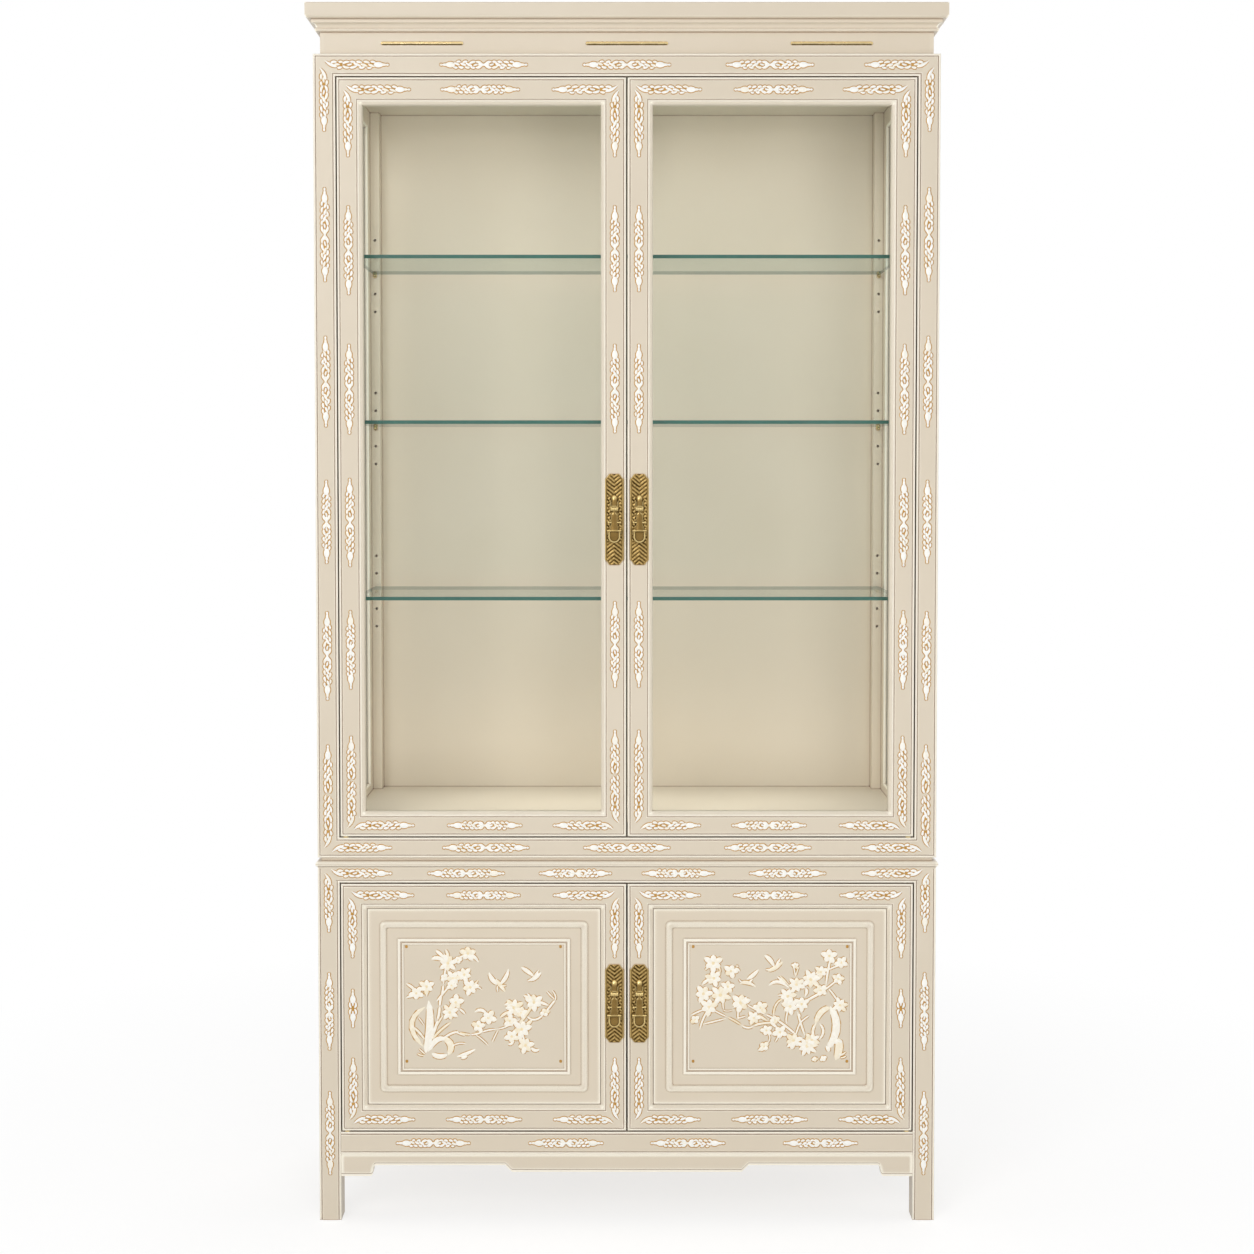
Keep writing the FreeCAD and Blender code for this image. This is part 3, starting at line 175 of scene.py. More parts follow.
def noise(tree, place, size, detail=2.0):
    """Noise whose features are about as large as size, in metres."""
    return node(tree, "ShaderNodeTexNoise", {"Vector": place, "Scale": 1 / size, "Detail": detail}).outputs[0]


def object_place(tree):
    return node(tree, "ShaderNodeTexCoord").outputs["Object"]


def object_normal(tree):
    return node(tree, "ShaderNodeTexCoord").outputs["Normal"]


def openness(tree, distance, inside=False):
    """1 on open faces, less in hollows; inside, less along edges and on thin beads."""
    return node(tree, "ShaderNodeAmbientOcclusion", {"Distance": distance}, samples=8, inside=inside,
                only_local=inside).outputs["AO"]


def finished(tree, **inputs):
    """A principled surface wired to the material's output; names use _ for spaces."""
    inputs = {key.replace("_", " "): value for key, value in inputs.items()}
    shader = node(tree, "ShaderNodeBsdfPrincipled", inputs)
    node(tree, "ShaderNodeOutputMaterial", {"Surface": shader.outputs[0]})


def bumped(tree, height, depth):
    return node(tree, "ShaderNodeBump", {"Height": height, "Strength": 0.3, "Distance": depth}).outputs[0]


def new_piece(name, points, faces, body, material, smooth=False, attributes=None):
    """Makes a piece from points and faces that rides on a body."""
    mesh = bpy.data.meshes.new(name)
    mesh.from_pydata(points, [], faces)
    mesh.polygons.foreach_set("use_smooth", np.full(len(mesh.polygons), smooth))
    for key, values in (attributes or {}).items():
        layer = mesh.attributes.new(key, "FLOAT", "POINT")
        layer.data.foreach_set("value", np.ascontiguousarray(values, np.float32).ravel())
    mesh.materials.append(material)
    mesh.update()
    piece = bpy.data.objects.new(name, mesh)
    bpy.context.scene.collection.objects.link(piece)
    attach(piece, body)
    return piece


def sheet_piece(name, points, body, material, attributes):
    """Makes a smooth piece from a stack of grids: points is (sheets, rows, columns, 3), joined into quads."""
    sheets, rows, columns, _ = points.shape
    index = np.arange(sheets * rows * columns).reshape(sheets, rows, columns)
    quads = np.stack([index[:, :-1, :-1], index[:, 1:, :-1], index[:, 1:, 1:], index[:, :-1, 1:]], axis=-1)
    points, quads = points.reshape(-1, 3), quads.reshape(-1, 4)
    return new_piece(name, points, quads, body, material, True, attributes)


def upright_strip(name, left, right, front, back, low, high, body, material, slot):
    """A strip with a half-round nose towards the front: a half circle and the two square corners behind it,
    carried straight up and closed at both ends."""
    turn = np.linspace(math.pi, 2 * math.pi, 13)
    middle, half = (left + right) / 2, (right - left) / 2
    across = np.concatenate([middle + half * np.cos(turn), [right, left]])
    deep = np.concatenate([front + half * (1 + np.sin(turn)), [back, back]])
    ring = np.stack([across, deep, np.zeros_like(deep)], axis=1)
    points = np.concatenate([ring + (0, 0, low), ring + (0, 0, high)])
    i = np.arange(len(ring))
    j = np.roll(i, -1)
    sides = np.stack([i, j, j + len(ring), i + len(ring)], axis=1)
    faces = [*sides.tolist(), i[::-1].tolist(), (i + len(ring)).tolist()]
    return new_piece(name, points, faces, body, material)


# Materials


def lacquer_material(name, finish, reach, crest_highlight):
    # sprayed lacquer on wood: satin cream, faintly clouded, with a painted highlight on the beads and brown
    # glaze with painted shade in every quirk; reach is the size of the mouldings, the last argument how far
    # the painted highlight spreads onto their flat crests
    mat, tree = blank_material(name)
    place = object_place(tree)
    peel = noise(tree, place, 0.0035)
    body = mixed(tree, noise(tree, place, 0.16, 3.0), finish.cream, finish.cream_warm)
    facing = node(tree, "ShaderNodeVectorMath", {0: object_normal(tree)}, operation="ABSOLUTE").outputs[0]
    x, y, z = node(tree, "ShaderNodeSeparateXYZ", {0: facing}).outputs
    square = maths(tree, "MAXIMUM", maths(tree, "MAXIMUM", x, z), y)
    rounded = ranged(tree, square, 0.985, 0.999, 1.0, crest_highlight)
    # painted highlight: a mask of thin beads and sharp convex edges, found by looking into the solid
    bead = ranged(tree, openness(tree, reach, True), 0.74, 0.98, 1.0, 0.0)
    # glaze and painted shade: brown laid into quirks and corners by how enclosed they are
    quirk_glaze_shade_share = ranged(tree, openness(tree, 0.003), 0.38, 0.9, 0.85, 0.0)
    outside_crease = ranged(tree, quirk_glaze_shade_share, 0.2, 0.8, 1.0, 0.1)
    # painted highlight on the rounded faces of beads and edges, held out of the shaded quirks
    painted_highlight_share = maths(tree, "MULTIPLY", maths(tree, "MULTIPLY", bead, rounded), outside_crease)
    glazed_and_shaded = mixed(tree, quirk_glaze_shade_share, body, finish.glaze_and_shade)
    finished(tree, Base_Color=mixed(tree, painted_highlight_share, glazed_and_shaded, finish.cream_highlight),
             Roughness=ranged(tree, peel, 0, 1, 0.34, 0.5), Normal=bumped(tree, peel, 0.0001),
             Coat_Weight=0.15, Coat_Roughness=0.25)
    return mat


def poplar_material(name, pale):
    # sawn poplar, sealed or stained: one colour with long soft grain, 9 mm from line to line
    mat, tree = blank_material(name)
    along = node(tree, "ShaderNodeMapping", {"Vector": object_place(tree), "Scale": (0.06, 1.0, 1.0)})
    grain = noise(tree, along.outputs[0], 0.009, 4.0)
    dark = tuple(c * 0.78 for c in pale[:3]) + (1.0,)
    finished(tree, Base_Color=mixed(tree, grain, pale, dark), Roughness=ranged(tree, grain, 0, 1, 0.5, 0.68),
             Normal=bumped(tree, grain, 0.0003))
    return mat


def brass_material(name, finish, bright, roughness, cut):
    # brass with a painted highlight on edges and upper faces, patina and painted shade in hollows, painted
    # shade on flanks and undersides; engraved faces keep more dark in their cuts, and their painted highlight
    # lies on the uncut ridges instead
    mat, tree = blank_material(name)
    place = object_place(tree)
    cloud = noise(tree, place, 0.011, 4.0)
    # patina, and painted shade, in hollows and round the hanging pulls
    patina_shade_share = ranged(tree, openness(tree, 0.005), 0.4, 0.95, 0.95, 0.0)
    # painted highlight on sharp edges
    edges = ranged(tree, openness(tree, 0.0025, True), 0.45, 0.95, 0.9, 0.0)
    across, _, up = node(tree, "ShaderNodeSeparateXYZ", {0: object_normal(tree)}).outputs
    # painted highlight on upward faces, painted shade on undersides and flanks
    upper = ranged(tree, up, 0.08, 0.42, 0.0, 0.95)
    under = ranged(tree, up, -0.15, -0.6, 0.0, 0.9)
    flank = ranged(tree, maths(tree, "ABSOLUTE", across), 0.5, 0.9, 0.0, 0.8)
    patina_shade_share = maths(tree, "MAXIMUM", maths(tree, "MAXIMUM", patina_shade_share, under), flank)
    highlight_mask = maths(tree, "MAXIMUM", edges, upper)
    if cut:
        carved = node(tree, "ShaderNodeAttribute", attribute_name="cut").outputs["Fac"]
        patina_shade_share = maths(tree, "MAXIMUM", patina_shade_share, ranged(tree, carved, 0.15, 0.85, 0.0, 0.76))
        # painted highlight on the uncut ridges of an engraved face
        highlight_mask = ranged(tree, carved, 0.0, 0.3, 0.3, 0.0)
    stain = ranged(tree, cloud, 0.35, 0.75, 0.0, 0.35)
    aged_and_shaded = mixed(tree, maths(tree, "ADD", patina_shade_share, stain, use_clamp=True), bright, finish.brass_patina_and_shade)
    finished(tree, Base_Color=mixed(tree, highlight_mask, aged_and_shaded, finish.brass_highlight), Metallic=1.0,
             Roughness=ranged(tree, cloud, 0, 1, roughness, roughness + 0.16),
             Normal=bumped(tree, noise(tree, place, 0.0012), 0.0002))
    return mat


def shell_material(name, pale, warm_tint, cool_tint):
    # cut shell: almost white, with warm and cool tints from piece to piece and a smooth wet gloss
    mat, tree = blank_material(name)
    place = object_place(tree)
    tint = node(tree, "ShaderNodeAttribute", attribute_name="tint").outputs["Fac"]
    nacre = noise(tree, place, 0.006, 3.0)
    warm = mixed(tree, ranged(tree, tint, 0.5, 1.0, 0.0, 0.8), pale, warm_tint)
    body = mixed(tree, ranged(tree, nacre, 0.52, 0.75, 0.0, 0.6), warm, cool_tint)
    finished(tree, Base_Color=body, Roughness=ranged(tree, nacre, 0, 1, 0.2, 0.34),
             Normal=bumped(tree, nacre, 0.0002), Coat_Weight=0.3, Coat_Roughness=0.12)
    return mat


def gilt_material(finish):
    # gold size with leaf laid round the shell: dull warm gold with darker specks, and painted shade where it
    # lies deep
    mat, tree = blank_material("gilding_on_gesso")
    place = object_place(tree)
    speck = noise(tree, place, 0.003, 3.0)
    # painted shade where the gilding lies deep beside the shell
    deep = ranged(tree, openness(tree, 0.0015), 0.45, 0.95, 1.0, 0.0)
    leaf_gold = mixed(tree, ranged(tree, speck, 0.4, 0.8, 0.0, 0.4), finish.gilt, finish.gilt_dark_and_shade)
    finished(tree, Base_Color=mixed(tree, deep, leaf_gold, finish.gilt_dark_and_shade), Metallic=0.2,
             Roughness=ranged(tree, speck, 0, 1, 0.38, 0.55), Normal=bumped(tree, speck, 0.0002))
    return mat


def glass_shader(tree, tint):
    """Clear float glass: see-through, a mirror at a glancing angle, softened by a faint film."""
    film = ranged(tree, noise(tree, object_place(tree), 0.09), 0, 1, 0.0, 0.03)
    front = ranged(tree, node(tree, "ShaderNodeNewGeometry").outputs["Backfacing"], 0, 1, 1.0, 0.0)
    fresnel = node(tree, "ShaderNodeFresnel", {"IOR": 1.5}).outputs[0]
    gloss = maths(tree, "MULTIPLY", fresnel, front)
    clear = node(tree, "ShaderNodeBsdfTransparent", {"Color": tint})
    mirror = node(tree, "ShaderNodeBsdfGlossy", {"Roughness": film})
    return node(tree, "ShaderNodeMixShader", {0: gloss, 1: clear.outputs[0], 2: mirror.outputs[0]}).outputs[0]


def pane_material():
    # float glass: almost no colour through its thickness
    mat, tree = blank_material("float_glass_clear")
    node(tree, "ShaderNodeOutputMaterial", {"Surface": glass_shader(tree, linear("#FDFEFD"))})
    return mat


def shelf_material(finish):
    # the same glass with ground edges: light that has come a long way through it leaves the edges deep green
    mat, tree = blank_material("float_glass_with_ground_edges")
    normal = node(tree, "ShaderNodeNewGeometry").outputs["Normal"]
    upward = node(tree, "ShaderNodeSeparateXYZ", {0: normal}).outputs["Z"]
    side = maths(tree, "LESS_THAN", maths(tree, "ABSOLUTE", upward), 0.5)
    pale = tuple(c * 1.35 for c in finish.glass_edge[:3]) + (1.0,)
    deep = mixed(tree, noise(tree, object_place(tree), 0.05, 1.0), finish.glass_edge, pale)
    edge = node(tree, "ShaderNodeBsdfPrincipled", {"Base Color": deep, "Roughness": 0.2, "IOR": 1.5})
    flats = glass_shader(tree, linear("#F2FCFA"))
    done = node(tree, "ShaderNodeMixShader", {0: side, 1: flats, 2: edge.outputs[0]})
    node(tree, "ShaderNodeOutputMaterial", {"Surface": done.outputs[0]})
    return mat


# Shell work: every leaf, petal and twig is one stroke


def stroke_sheets(rows, steps, across, relief, sink, grow):
    """Strokes as domed grids. A row is (x0, y0, x1, y1, x2, y2, half width, lead, point, shell) in mm: a
    quadratic curve drawn by three points, as wide as half width x sin(pi t^lead)^point, domed across as the
    root of 1 - v^2, its edges let in by sink and its outline widened by grow. Gives places in the plane, and
    heights."""
    rows = np.asarray(rows, float)
    t = np.linspace(0.0, 1.0, steps)[None, :, None]
    v = np.asarray(across)[None, None, :]
    p0, p1, p2 = (rows[:, None, i:i + 2] for i in (0, 2, 4))
    half, lead, point = (rows[:, None, None, i] for i in (6, 7, 8))
    ahead = (p2 - p0) / np.maximum(np.linalg.norm(p2 - p0, axis=-1, keepdims=True), 1e-6)
    p0, p2 = p0 - ahead * grow, p2 + ahead * grow
    spine = (1 - t) ** 2 * p0 + 2 * t * (1 - t) * p1 + t ** 2 * p2
    run = 2 * (1 - t) * (p1 - p0) + 2 * t * (p2 - p1)
    run = run / np.maximum(np.linalg.norm(run, axis=-1, keepdims=True), 1e-6)
    side = np.stack([-run[..., 1], run[..., 0]], axis=-1)
    swell = np.maximum(np.sin(np.pi * t ** lead), 0.0) ** point
    wide = (half + grow) * np.maximum(swell, 0.06)
    flat = spine[:, :, None, :] + side[:, :, None, :] * (wide * v)[..., None]
    dome = np.sqrt(np.maximum(1 - v ** 2, 0.0)) * np.sqrt(wide / (half + grow))
    return flat, (relief + sink) * dome - sink


def inlay_pieces(name, rows, body, plane, relief, gilding, materials):
    """Lays strokes on an upright plane that faces -Y, over a wider, lower layer of gilding, its outline."""
    sink = bpy.context.scene.cabinet_inlay.sink / MM
    relief, gilding = relief / MM, gilding / MM
    shell = rows[rows[:, 9] > 0]
    layers = [("_shell", shell, 8, (-1.0, -0.72, 0.0, 0.72, 1.0), relief, 0.2),
              ("_gilding", rows, 6, (-1.0, -0.8, 0.8, 1.0), relief * 0.6, gilding)]
    for (ending, drawn, steps, across, high, grow), material in zip(layers, materials):
        flat, height = stroke_sheets(drawn, steps, across, high, sink, grow)
        points = np.stack([flat[..., 0] * MM, plane - height * MM, flat[..., 1] * MM], axis=-1)
        tint = np.maximum(np.random.default_rng(7).random(len(drawn)) * 0.8, drawn[:, 9] - 1)[:, None, None]
        sheet_piece(name + ending, points, body, material,
                    {"tint": np.broadcast_to(tint, height.shape)})


def moved(rows, angle, place, flip=1.0, stretch=1.0):
    """Rows stretched along, mirrored across, turned by angle and moved to place."""
    rows = np.array(rows, float)
    c, s = math.cos(angle), math.sin(angle)
    x = rows[:, 0:6:2] * stretch
    y = rows[:, 1:6:2] * flip
    rows[:, 0:6:2] = place[0] + c * x - s * y
    rows[:, 1:6:2] = place[1] + s * x + c * y
    return rows


def mirrored(rows, column):
    """The same strokes with X (column 0) or Y (column 1) turned to the other side."""
    rows = np.array(rows, float)
    rows[:, column:6:2] *= -1
    return rows


def with_mirror(rows):
    return np.concatenate([np.array(rows, float), mirrored(rows, 1)])


# Scroll ornament in mm, drawn along X from the waist to the egg; the last number is 1 for shell, else 0
ARM_LENGTH = 50.0
ARM = np.concatenate([
    with_mirror([(3.5, 1.2, 8.0, 6.2, 14.0, 4.0, 2.3, 0.8, 0.5, 1)]),
    np.array([
        (4.0, 0.0, 26.0, 0.0, 50.0, 0.0, 3.6, 1.0, 0.2, 0),
        (9.5, 0.2, 13.0, 0.6, 17.5, -1.6, 1.7, 1.0, 0.5, 1),
        (13.5, 4.6, 19.0, 5.4, 25.0, 1.0, 2.4, 0.9, 0.5, 1),
        (14.0, -4.4, 18.0, -5.6, 22.5, -3.6, 2.1, 0.9, 0.5, 1),
        (19.0, -2.0, 24.0, -1.6, 31.0, 3.8, 2.3, 0.9, 0.5, 1),
        (23.0, -4.6, 27.5, -5.6, 32.0, -2.6, 2.3, 0.9, 0.5, 1),
        (27.0, 4.8, 31.5, 5.8, 36.0, 3.0, 2.1, 0.9, 0.5, 1),
        (29.0, -0.6, 34.0, -0.6, 40.0, 3.2, 2.2, 0.9, 0.5, 1),
        (33.5, -4.4, 38.0, -5.6, 43.0, -2.4, 2.3, 0.9, 0.5, 1),
        (38.5, 4.8, 42.0, 5.8, 46.0, 4.4, 1.9, 0.9, 0.5, 1),
        (40.0, -0.4, 44.5, 0.6, 50.0, 3.6, 2.2, 0.9, 0.5, 1),
        (43.5, -4.4, 47.5, -5.6, 51.5, -3.0, 2.1, 0.9, 0.5, 1),
    ]),
])
TIP_LENGTH = 23.0
TIP = np.array([
    (-2.0, 0.0, 6.0, 0.0, 15.0, 0.0, 5.4, 0.9, 0.65, 1),
    (11.5, 0.0, 15.0, 0.0, 20.0, 0.0, 2.4, 0.7, 0.55, 1),
    (18.4, 0.0, 20.6, 0.0, 23.0, 0.0, 2.1, 0.9, 0.5, 1),
])
WAIST = np.concatenate([
    with_mirror([(1.0, 1.2, 6.0, 2.0, 12.0, 5.4, 2.1, 0.9, 0.5, 1)]),
    np.array([(-1.0, 0.0, 3.5, 0.0, 9.0, 0.0, 2.5, 1.0, 0.25, 1)]),
])
SHORT_WAIST = np.concatenate([
    with_mirror([(0.8, 2.2, 4.5, 6.8, 11.0, 4.2, 2.0, 0.8, 0.5, 1)]),
    np.array([
        (0.0, 0.0, 5.0, 0.0, 12.0, 0.0, 3.4, 1.0, 0.2, 0),
        (4.0, 0.0, 6.5, 0.0, 9.5, 0.0, 1.5, 1.0, 0.5, 1),
    ]),
])
CORNER_LENGTH = 24.0
CORNER = np.array([
    (-13.0, 0.4, -20.0, 0.0, -28.0, 0.0, 3.6, 0.8, 0.3, 0),
    (1.0, 7.0, -8.0, -1.6, -20.0, -3.4, 2.8, 1.2, 0.6, 1),
    (-8.5, 3.0, -13.0, 5.8, -19.0, 4.0, 2.4, 0.9, 0.5, 1),
    (-14.0, 0.0, -18.5, 1.4, -24.0, -0.4, 2.0, 0.9, 0.5, 1),
    (-19.0, -4.6, -23.0, -5.6, -27.5, -3.2, 2.3, 0.9, 0.5, 1),
    (-21.0, 4.0, -24.5, 5.6, -28.5, 3.6, 2.2, 0.9, 0.5, 1),
])


def double_ornament(start, stop):
    """An ornament between two places on a line: a waist, and an arm and a tipped egg on each side."""
    half = abs(stop - start) / 2
    room = half - TIP_LENGTH
    if room > ARM_LENGTH / 2:
        arm = [WAIST, moved(ARM, 0.0, (0.0, 0.0), stretch=room / ARM_LENGTH)]
    else:
        arm = [SHORT_WAIST]
    arm = np.concatenate([*arm, moved(TIP, 0.0, (room, 0.0))])
    return np.concatenate([arm, moved(arm, math.pi, (0.0, 0.0))])


def corner_ornament(span):
    """An ornament that starts with a tipped egg and ends in a long leaf along the mitre."""
    count = max(1, round((span - TIP_LENGTH - CORNER_LENGTH) / ARM_LENGTH))
    room = (span - TIP_LENGTH - CORNER_LENGTH) / count
    rows = [moved(TIP, math.pi, (TIP_LENGTH, 0.0)), moved(CORNER, 0.0, (span, 0.0))]
    for i in range(count):
        rows.append(moved(ARM, math.pi, (TIP_LENGTH + (i + 1) * room, 0.0), stretch=room / ARM_LENGTH))
    return np.concatenate(rows)


# Runs of ornament on the left half, in mm: (along, place of the line, outward side, [corner spans],
# [double spans])
CASE_RUNS = [
    ("x", 1894.5, 1, [(-384.5, -487.5)], [(-302.5, -160.5)]),
    ("x", 620.0, -1, [(-386.0, -483.0)], [(-302.5, -160.5)]),
    ("x", 577.5, 1, [(-386.0, -484.5)], [(-327.0, -201.0), (-144.0, -25.0)]),
    ("x", 128.75, -1, [], [(-381.0, -258.5), (-162.0, -39.0)]),
    ("z", -490.0, -1, [(1787.5, 1889.0), (789.5, 621.0)],
     [(1697.0, 1545.0), (1457.0, 1309.5), (1223.0, 1087.0), (1008.5, 863.0)]),
    ("z", -490.0, -1, [(480.0, 577.0)], [(413.0, 284.0), (215.0, 76.0)]),
]
MIDDLE_RUNS = [
    ("x", 1894.5, 1, [], [(-71.0, 71.0)]),
    ("x", 620.0, -1, [], [(-71.0, 71.0)]),
]
GLASS_DOOR_RUNS = [
    ("x", 1854.7, 1, [(-350.0, -453.0), (-121.0, -16.0)], [(-301.0, -173.5)]),
    ("x", 656.8, -1, [(-348.5, -447.0), (-121.0, -23.0)], [(-294.5, -172.0)]),
    ("z", -451.7, -1, [(1746.5, 1853.0), (804.0, 654.0)],
     [(1668.0, 1524.0), (1444.0, 1298.0), (1226.0, 1082.0), (1010.0, 881.0)]),
    ("z", -19.55, 1, [(1746.5, 1853.0), (814.0, 662.0)],
     [(1668.0, 1529.0), (1444.0, 1300.0), (1025.0, 884.0)]),
]
BASE_DOOR_RUNS = [
    ("x", 541.2, 1, [(-350.0, -451.5), (-121.0, -21.5)], [(-296.0, -175.0)]),
    ("x", 168.3, -1, [(-350.0, -450.0), (-121.0, -23.0)], [(-298.0, -173.5)]),
    ("z", -451.2, -1, [(437.5, 536.0), (271.0, 169.0)], [(385.5, 321.5)]),
    ("z", -20.05, 1, [(437.5, 536.0), (271.0, 169.0)], []),
]


def ornament_rows(runs):
    """All strokes of a set of runs, in the plane of the front."""
    rows = []
    for along, line, outward, corners, doubles in runs:
        turn = 0.0 if along == "x" else math.pi / 2
        for tip, corner in corners:
            back = corner < tip
            place = (tip, line) if along == "x" else (line, tip)
            flip = outward if (along == "x") != back else -outward
            rows.append(moved(corner_ornament(abs(corner - tip)), turn + math.pi * back, place, flip))
        for number, (start, stop) in enumerate(doubles):
            middle = (start + stop) / 2
            place = (middle, line) if along == "x" else (line, middle)
            rows.append(moved(double_ornament(start, stop), turn, place, 1.0 if number % 2 else -1.0))
    return np.concatenate(rows)


# Flower and bird work on the door tablets, in mm from the middle of a tablet


def star_blossoms(places):
    """Blossoms at (x, y, radius, petals, turn): petals from the heart outwards, alternate ones shorter, and a
    small golden heart."""
    rows = []
    for x, y, radius, petals, turn in places:
        angle = turn + 2 * np.pi * np.arange(petals) / petals
        reach = radius * np.where(np.arange(petals) % 2, 0.86, 1.08)
        ray = np.stack([np.cos(angle), np.sin(angle)], axis=1)
        made = np.zeros((petals + 1, 10))
        for i, share in ((0, 0.05), (2, 0.55), (4, 1.0)):
            made[:petals, i:i + 2] = (x, y) + ray * (reach * share)[:, None]
        made[:petals, 6:] = (radius * 1.85 / petals + 0.4, 1.1, 0.5, 1)
        made[petals] = (x - radius * 0.2, y, x, y, x + radius * 0.2, y, radius * 0.22, 1.0, 0.5, 2)
        rows.append(made)
    return np.concatenate(rows)


def twigs(chains):
    """Branches as chains of curves, each from the middle of one leg to that of the next, thinning out."""
    rows = []
    for half, *points in chains:
        points = np.array(points, float)
        ends = np.concatenate([points[:1], (points[1:-2] + points[2:-1]) / 2, points[-1:]])
        count = len(points) - 2
        thin = half * np.linspace(1.35, 0.9, count)[:, None]
        shape = np.tile([1.0, 0.15, 1.0], (count, 1))
        rows.append(np.concatenate([ends[:-1], points[1:-1], ends[1:], thin, shape], axis=1))
    return np.concatenate(rows)


def leaves(places, point=0.55):
    """Single leaves, wings or lobes of rock: (x0, y0, x1, y1, x2, y2, half width); a small point is blunt."""
    places = np.array(places, float)
    return np.concatenate([places, np.tile([0.9, point, 1.0], (len(places), 1))], axis=1)


TABLET_X = 236.4
TABLET_Z = 359.0
STUD_X = 127.0
STUD_Z = 95.5
STUD = 1.5
STUDS = np.array([(x - STUD, z, x, z, x + STUD, z, STUD, 1.0, 0.5, 0)
                  for x in (-STUD_X, STUD_X) for z in (-STUD_Z, STUD_Z)])


def left_tablet():
    """A pierced rock at the left, flowering stems over it, a branch running to the right, and two birds."""
    rock = leaves([
        (-97, -84, -84, -40, -91, 7, 7.5), (-99, -72, -141, -30, -95, -4, 4.6),
        (-117, -38, -106, -46, -97, -60, 2.2), (-108, -22, -103, -28, -98, -36, 1.2),
        (-92, -80, -78, -50, -62, -60, 5.2), (-68, -57, -46, -64, -59, -86, 6.4),
        (-86, -82, -74, -92, -60, -84, 4.8), (-96, -84, -102, -80, -107, -74, 1.4),
        (-99, -86, -106, -86, -110, -82, 1.3),
    ], 0.3)
    stems = twigs([
        (2.0, (-88, -60), (-79, -40), (-73, -14), (-72, 6), (-67, 22), (-66, 42), (-61, 67)),
        (1.4, (-78, 4), (-68, 16), (-58, 28)), (1.4, (-54, 70), (-42, 77), (-28, 82)),
        (1.6, (-88, -62), (-72, -42), (-53, -30)), (1.3, (-84, -50), (-78, -34), (-66, -18)),
        (1.5, (-70, -60), (-50, -44), (-31, -51), (-12, -51), (6, -43), (36, -41), (62, -24)),
        (1.0, (-47, -46), (-40, -50), (-30, -53)), (1.0, (-14, -51), (-2, -58), (8, -70)),
        (1.0, (24, -43), (18, -54), (14, -64)), (1.0, (-56, -73), (-42, -62), (-28, -67)),
        (2.0, (58, -34), (70, -18), (82, 0)), (1.4, (71, -20), (84, -34), (99, -17)),
        (1.6, (102, -14), (113, 0), (122, 12), (112, 24)), (1.0, (117, 8), (110, 14), (104, 22)),
        (1.2, (62, -44), (66, -56), (68, -66)), (1.0, (-94, 12), (-93, 20), (-94, 28)),
    ])
    flowers = star_blossoms([
        (-94, 29, 13, 6, 0.5), (-111, 18, 12, 5, 0.9), (-59, 68, 15, 7, 0.2), (-26, 84, 13, 5, 0.3),
        (-50, 43, 13, 6, 0.1), (-53, 31, 9, 5, 1.2), (-32, 49, 13, 6, 0.8), (-22, 28, 14, 6, 0.2),
        (-46, 3, 13, 5, 1.5), (-56, -14, 14, 7, 0.4), (8, -23, 13, 5, 1.0), (-9, -37, 11, 5, 0.2),
        (50, -6, 16, 7, 0.5), (62, -14, 11, 5, 0.1), (43, -28, 11, 5, 1.4), (83, 3, 15, 6, 0.6),
        (101, -14, 8, 4, 0.4), (63, -42, 16, 6, 0.3), (46, -54, 12, 5, 0.9), (69, -69, 14, 6, 0.2),
        (-42, 73, 7, 4, 0.3), (-65, 44, 7, 4, 0.9),
    ])
    sprays = leaves([
        (-128, 34, -119, 30, -110, 20, 2.8), (-128, 10, -118, 15, -109, 15, 2.8),
        (-86, 74, -76, 81, -62, 70, 4.0), (-79, 89, -73, 86, -62, 74, 3.2),
        (-63, 91, -58, 84, -58, 72, 2.8), (-22, 82, -14, 80, -8, 69, 3.2), (-18, 28, -8, 31, -3, 23, 1.9),
        (-18, 31, -12, 34, -9, 40, 1.8), (-15, -14, -3, -4, 7, -19, 3.2), (27, -23, 34, -16, 44, -12, 2.8),
        (34, -2, 42, 2, 52, -4, 3.0), (66, 14, 72, 12, 80, 4, 3.0), (88, 4, 98, 2, 108, -3, 2.8),
        (72, 18, 76, 12, 82, 4, 2.2), (78, -72, 84, -81, 92, -75, 3.4), (70, -34, 76, -32, 80, -26, 3.2),
        (-45, -88, -30, -85, -13, -75, 3.4), (-38, -90, -32, -91, -27, -86, 2.6),
        (40, -66, 46, -70, 50, -60, 2.4), (-40, -8, -34, -12, -30, -18, 2.2),
    ])
    birds = leaves([
        (24, 32, 12, 40, 9, 53, 4.4), (26, 32, 39, 42, 41, 59, 3.8), (19, 42, 28, 31, 36, 20, 3.8),
        (23, 31, 22, 25, 24, 19, 1.6), (30, 31, 34, 30, 38, 31, 1.5), (62, 61, 72, 56, 84, 45, 4.0),
        (75, 39, 86, 42, 95, 53, 4.0), (83, 46, 88, 50, 91, 57, 2.0), (72, 38, 77, 40, 82, 41, 1.8),
    ])
    return np.concatenate([rock, stems, sprays, flowers, birds, STUDS])


